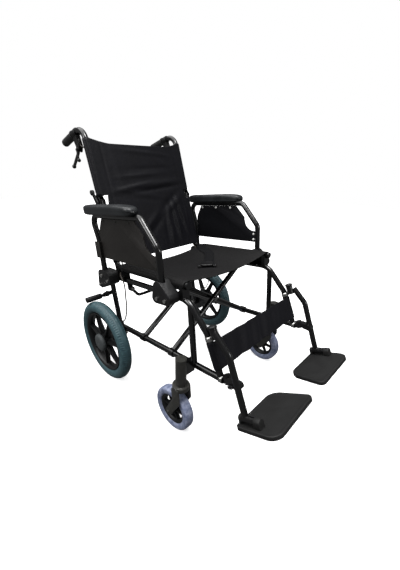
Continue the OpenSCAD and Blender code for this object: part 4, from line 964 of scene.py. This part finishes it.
def hinge_block(front, rear, half):
    """A barrel round the pin with a foot under it: the section is a half circle on two straight
    sides, carried along the pin, and drawn in a little at both ends."""
    a = np.linspace(0, math.pi, 19)
    low, mid = BLOCK_FOOT, (BLOCK_FOOT + 4) / 2
    arc = np.stack([half * np.cos(a), half * np.sin(a)], 1)
    foot = [(-half, mid), (-half, low + 4), (-half + 1, low), (half - 1, low)]
    section = np.concatenate([[(half, low + 4), (half, mid)], arc, foot])
    y = np.array([front, front + 0.4, front + 1.5, rear - 1.5, rear - 0.4, rear])
    shrink = np.array([0.86, 0.96, 1, 1, 0.96, 0.86])
    flat = section[None] * shrink[:, None, None]
    flat[..., 1] = np.where(section[None, :, 1] < 0, section[None, :, 1], flat[..., 1])
    return np.stack([flat[..., 0], np.broadcast_to(y[:, None], flat.shape[:2]), flat[..., 1]], -1)


front_block, rear_knuckle = hinge_block(-51.5, -30.5, 11.5), hinge_block(10.5, 19.5, 10.0)
pin = turned([(-50, PIN_R), (18.5, PIN_R)], (0, 0, 0), ALONG, ACROSS, UP, 24)
for side, sign in HANDED:
    grids = [(on_foot(g, sign), False) for g in (plate_rings(), front_block, rear_knuckle, pin)]
    foot = joined(f"footplate_moulding_{side}", grids, footplate_plastic, f"footplate_{side}")
    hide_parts(f"footplate_{side}")

# Studio: a sheet of white paper under soft boxes above, to the left and in front of the chair, and
# the even light of a ceiling. The paper throws no light and no reflection on the chair.
FLOOR_HALF = 6
floor_mesh = bpy.data.meshes.new("studio_floor")
floor_corners = [(x * FLOOR_HALF, y * FLOOR_HALF, 0) for x, y in ((-1, -1), (1, -1), (1, 1), (-1, 1))]
floor_mesh.from_pydata(floor_corners, [], [(0, 1, 2, 3)])
floor = bpy.data.objects.new("studio_floor", floor_mesh)
bpy.context.scene.collection.objects.link(floor)
glow = {"Roughness": 0.9, "Emission Color": (1, 1, 1, 1), "Emission Strength": 0.6}
paper, tree, shader, place = new_finish("white_paper", glow)
fibre = add(tree, "ShaderNodeTexNoise", {"Vector": place, "Scale": 300.0}).outputs[0]
sheet_tone = {0: fibre, 6: colour("#f6f6f6"), 7: colour("#fbfbfb")}
feed(tree, add(tree, "ShaderNodeMix", sheet_tone, data_type="RGBA"), shader, "Base Color")
floor_mesh.materials.append(paper)
floor.visible_glossy = False
floor.visible_diffuse = False


def soft_box(name, spot, target, size, power):
    """A square area light at spot that faces target."""
    data = bpy.data.lights.new(name, "AREA")
    data.size = size
    data.energy = power
    lamp = bpy.data.objects.new(name, data)
    bpy.context.scene.collection.objects.link(lamp)
    z = np.asarray(spot, float) - np.asarray(target, float)
    z /= np.linalg.norm(z)
    x = np.cross([0, 0, 1.0], z)
    x /= np.linalg.norm(x)
    m = np.eye(4)
    m[:3, 0], m[:3, 1], m[:3, 2], m[:3, 3] = x, np.cross(z, x), z, spot
    lamp.matrix_world = Matrix(m.tolist())


soft_box("top_light", (-0.2, -0.5, 2.5), (0, 0, 0.4), 0.7, 34)
soft_box("left_light", (-2.2, 0.6, 1.7), (0, 0, 0.5), 0.8, 22)
soft_box("front_light", (0.3, -2.6, 1.5), (0, 0, 0.4), 0.8, 16)
sky_data = bpy.data.lights.new("ceiling_light", "SUN")
sky_data.energy = 3.6
sky_data.angle = math.radians(80)
sky = bpy.data.objects.new("ceiling_light", sky_data)
bpy.context.scene.collection.objects.link(sky)
sky.rotation_euler = (math.radians(-14), math.radians(-12), 0)

# The air around: the camera sees a white backdrop, while the chair is lit by a dim room,
# so the black tubes keep their depth.
world = bpy.data.worlds.new("studio_air")
world.use_nodes = True
air = world.node_tree
air.nodes.clear()
seen = add(air, "ShaderNodeLightPath").outputs["Is Camera Ray"]
room = add(air, "ShaderNodeBackground", {"Color": (1, 1, 1, 1), "Strength": 0.16})
backdrop = add(air, "ShaderNodeBackground", {"Color": (1, 1, 1, 1), "Strength": 1.0})
mix = add(air, "ShaderNodeMixShader", {0: seen, 1: room.outputs[0], 2: backdrop.outputs[0]})
add(air, "ShaderNodeOutputWorld", {"Surface": mix.outputs[0]})
bpy.context.scene.world = world

bpy.context.view_layer.update()
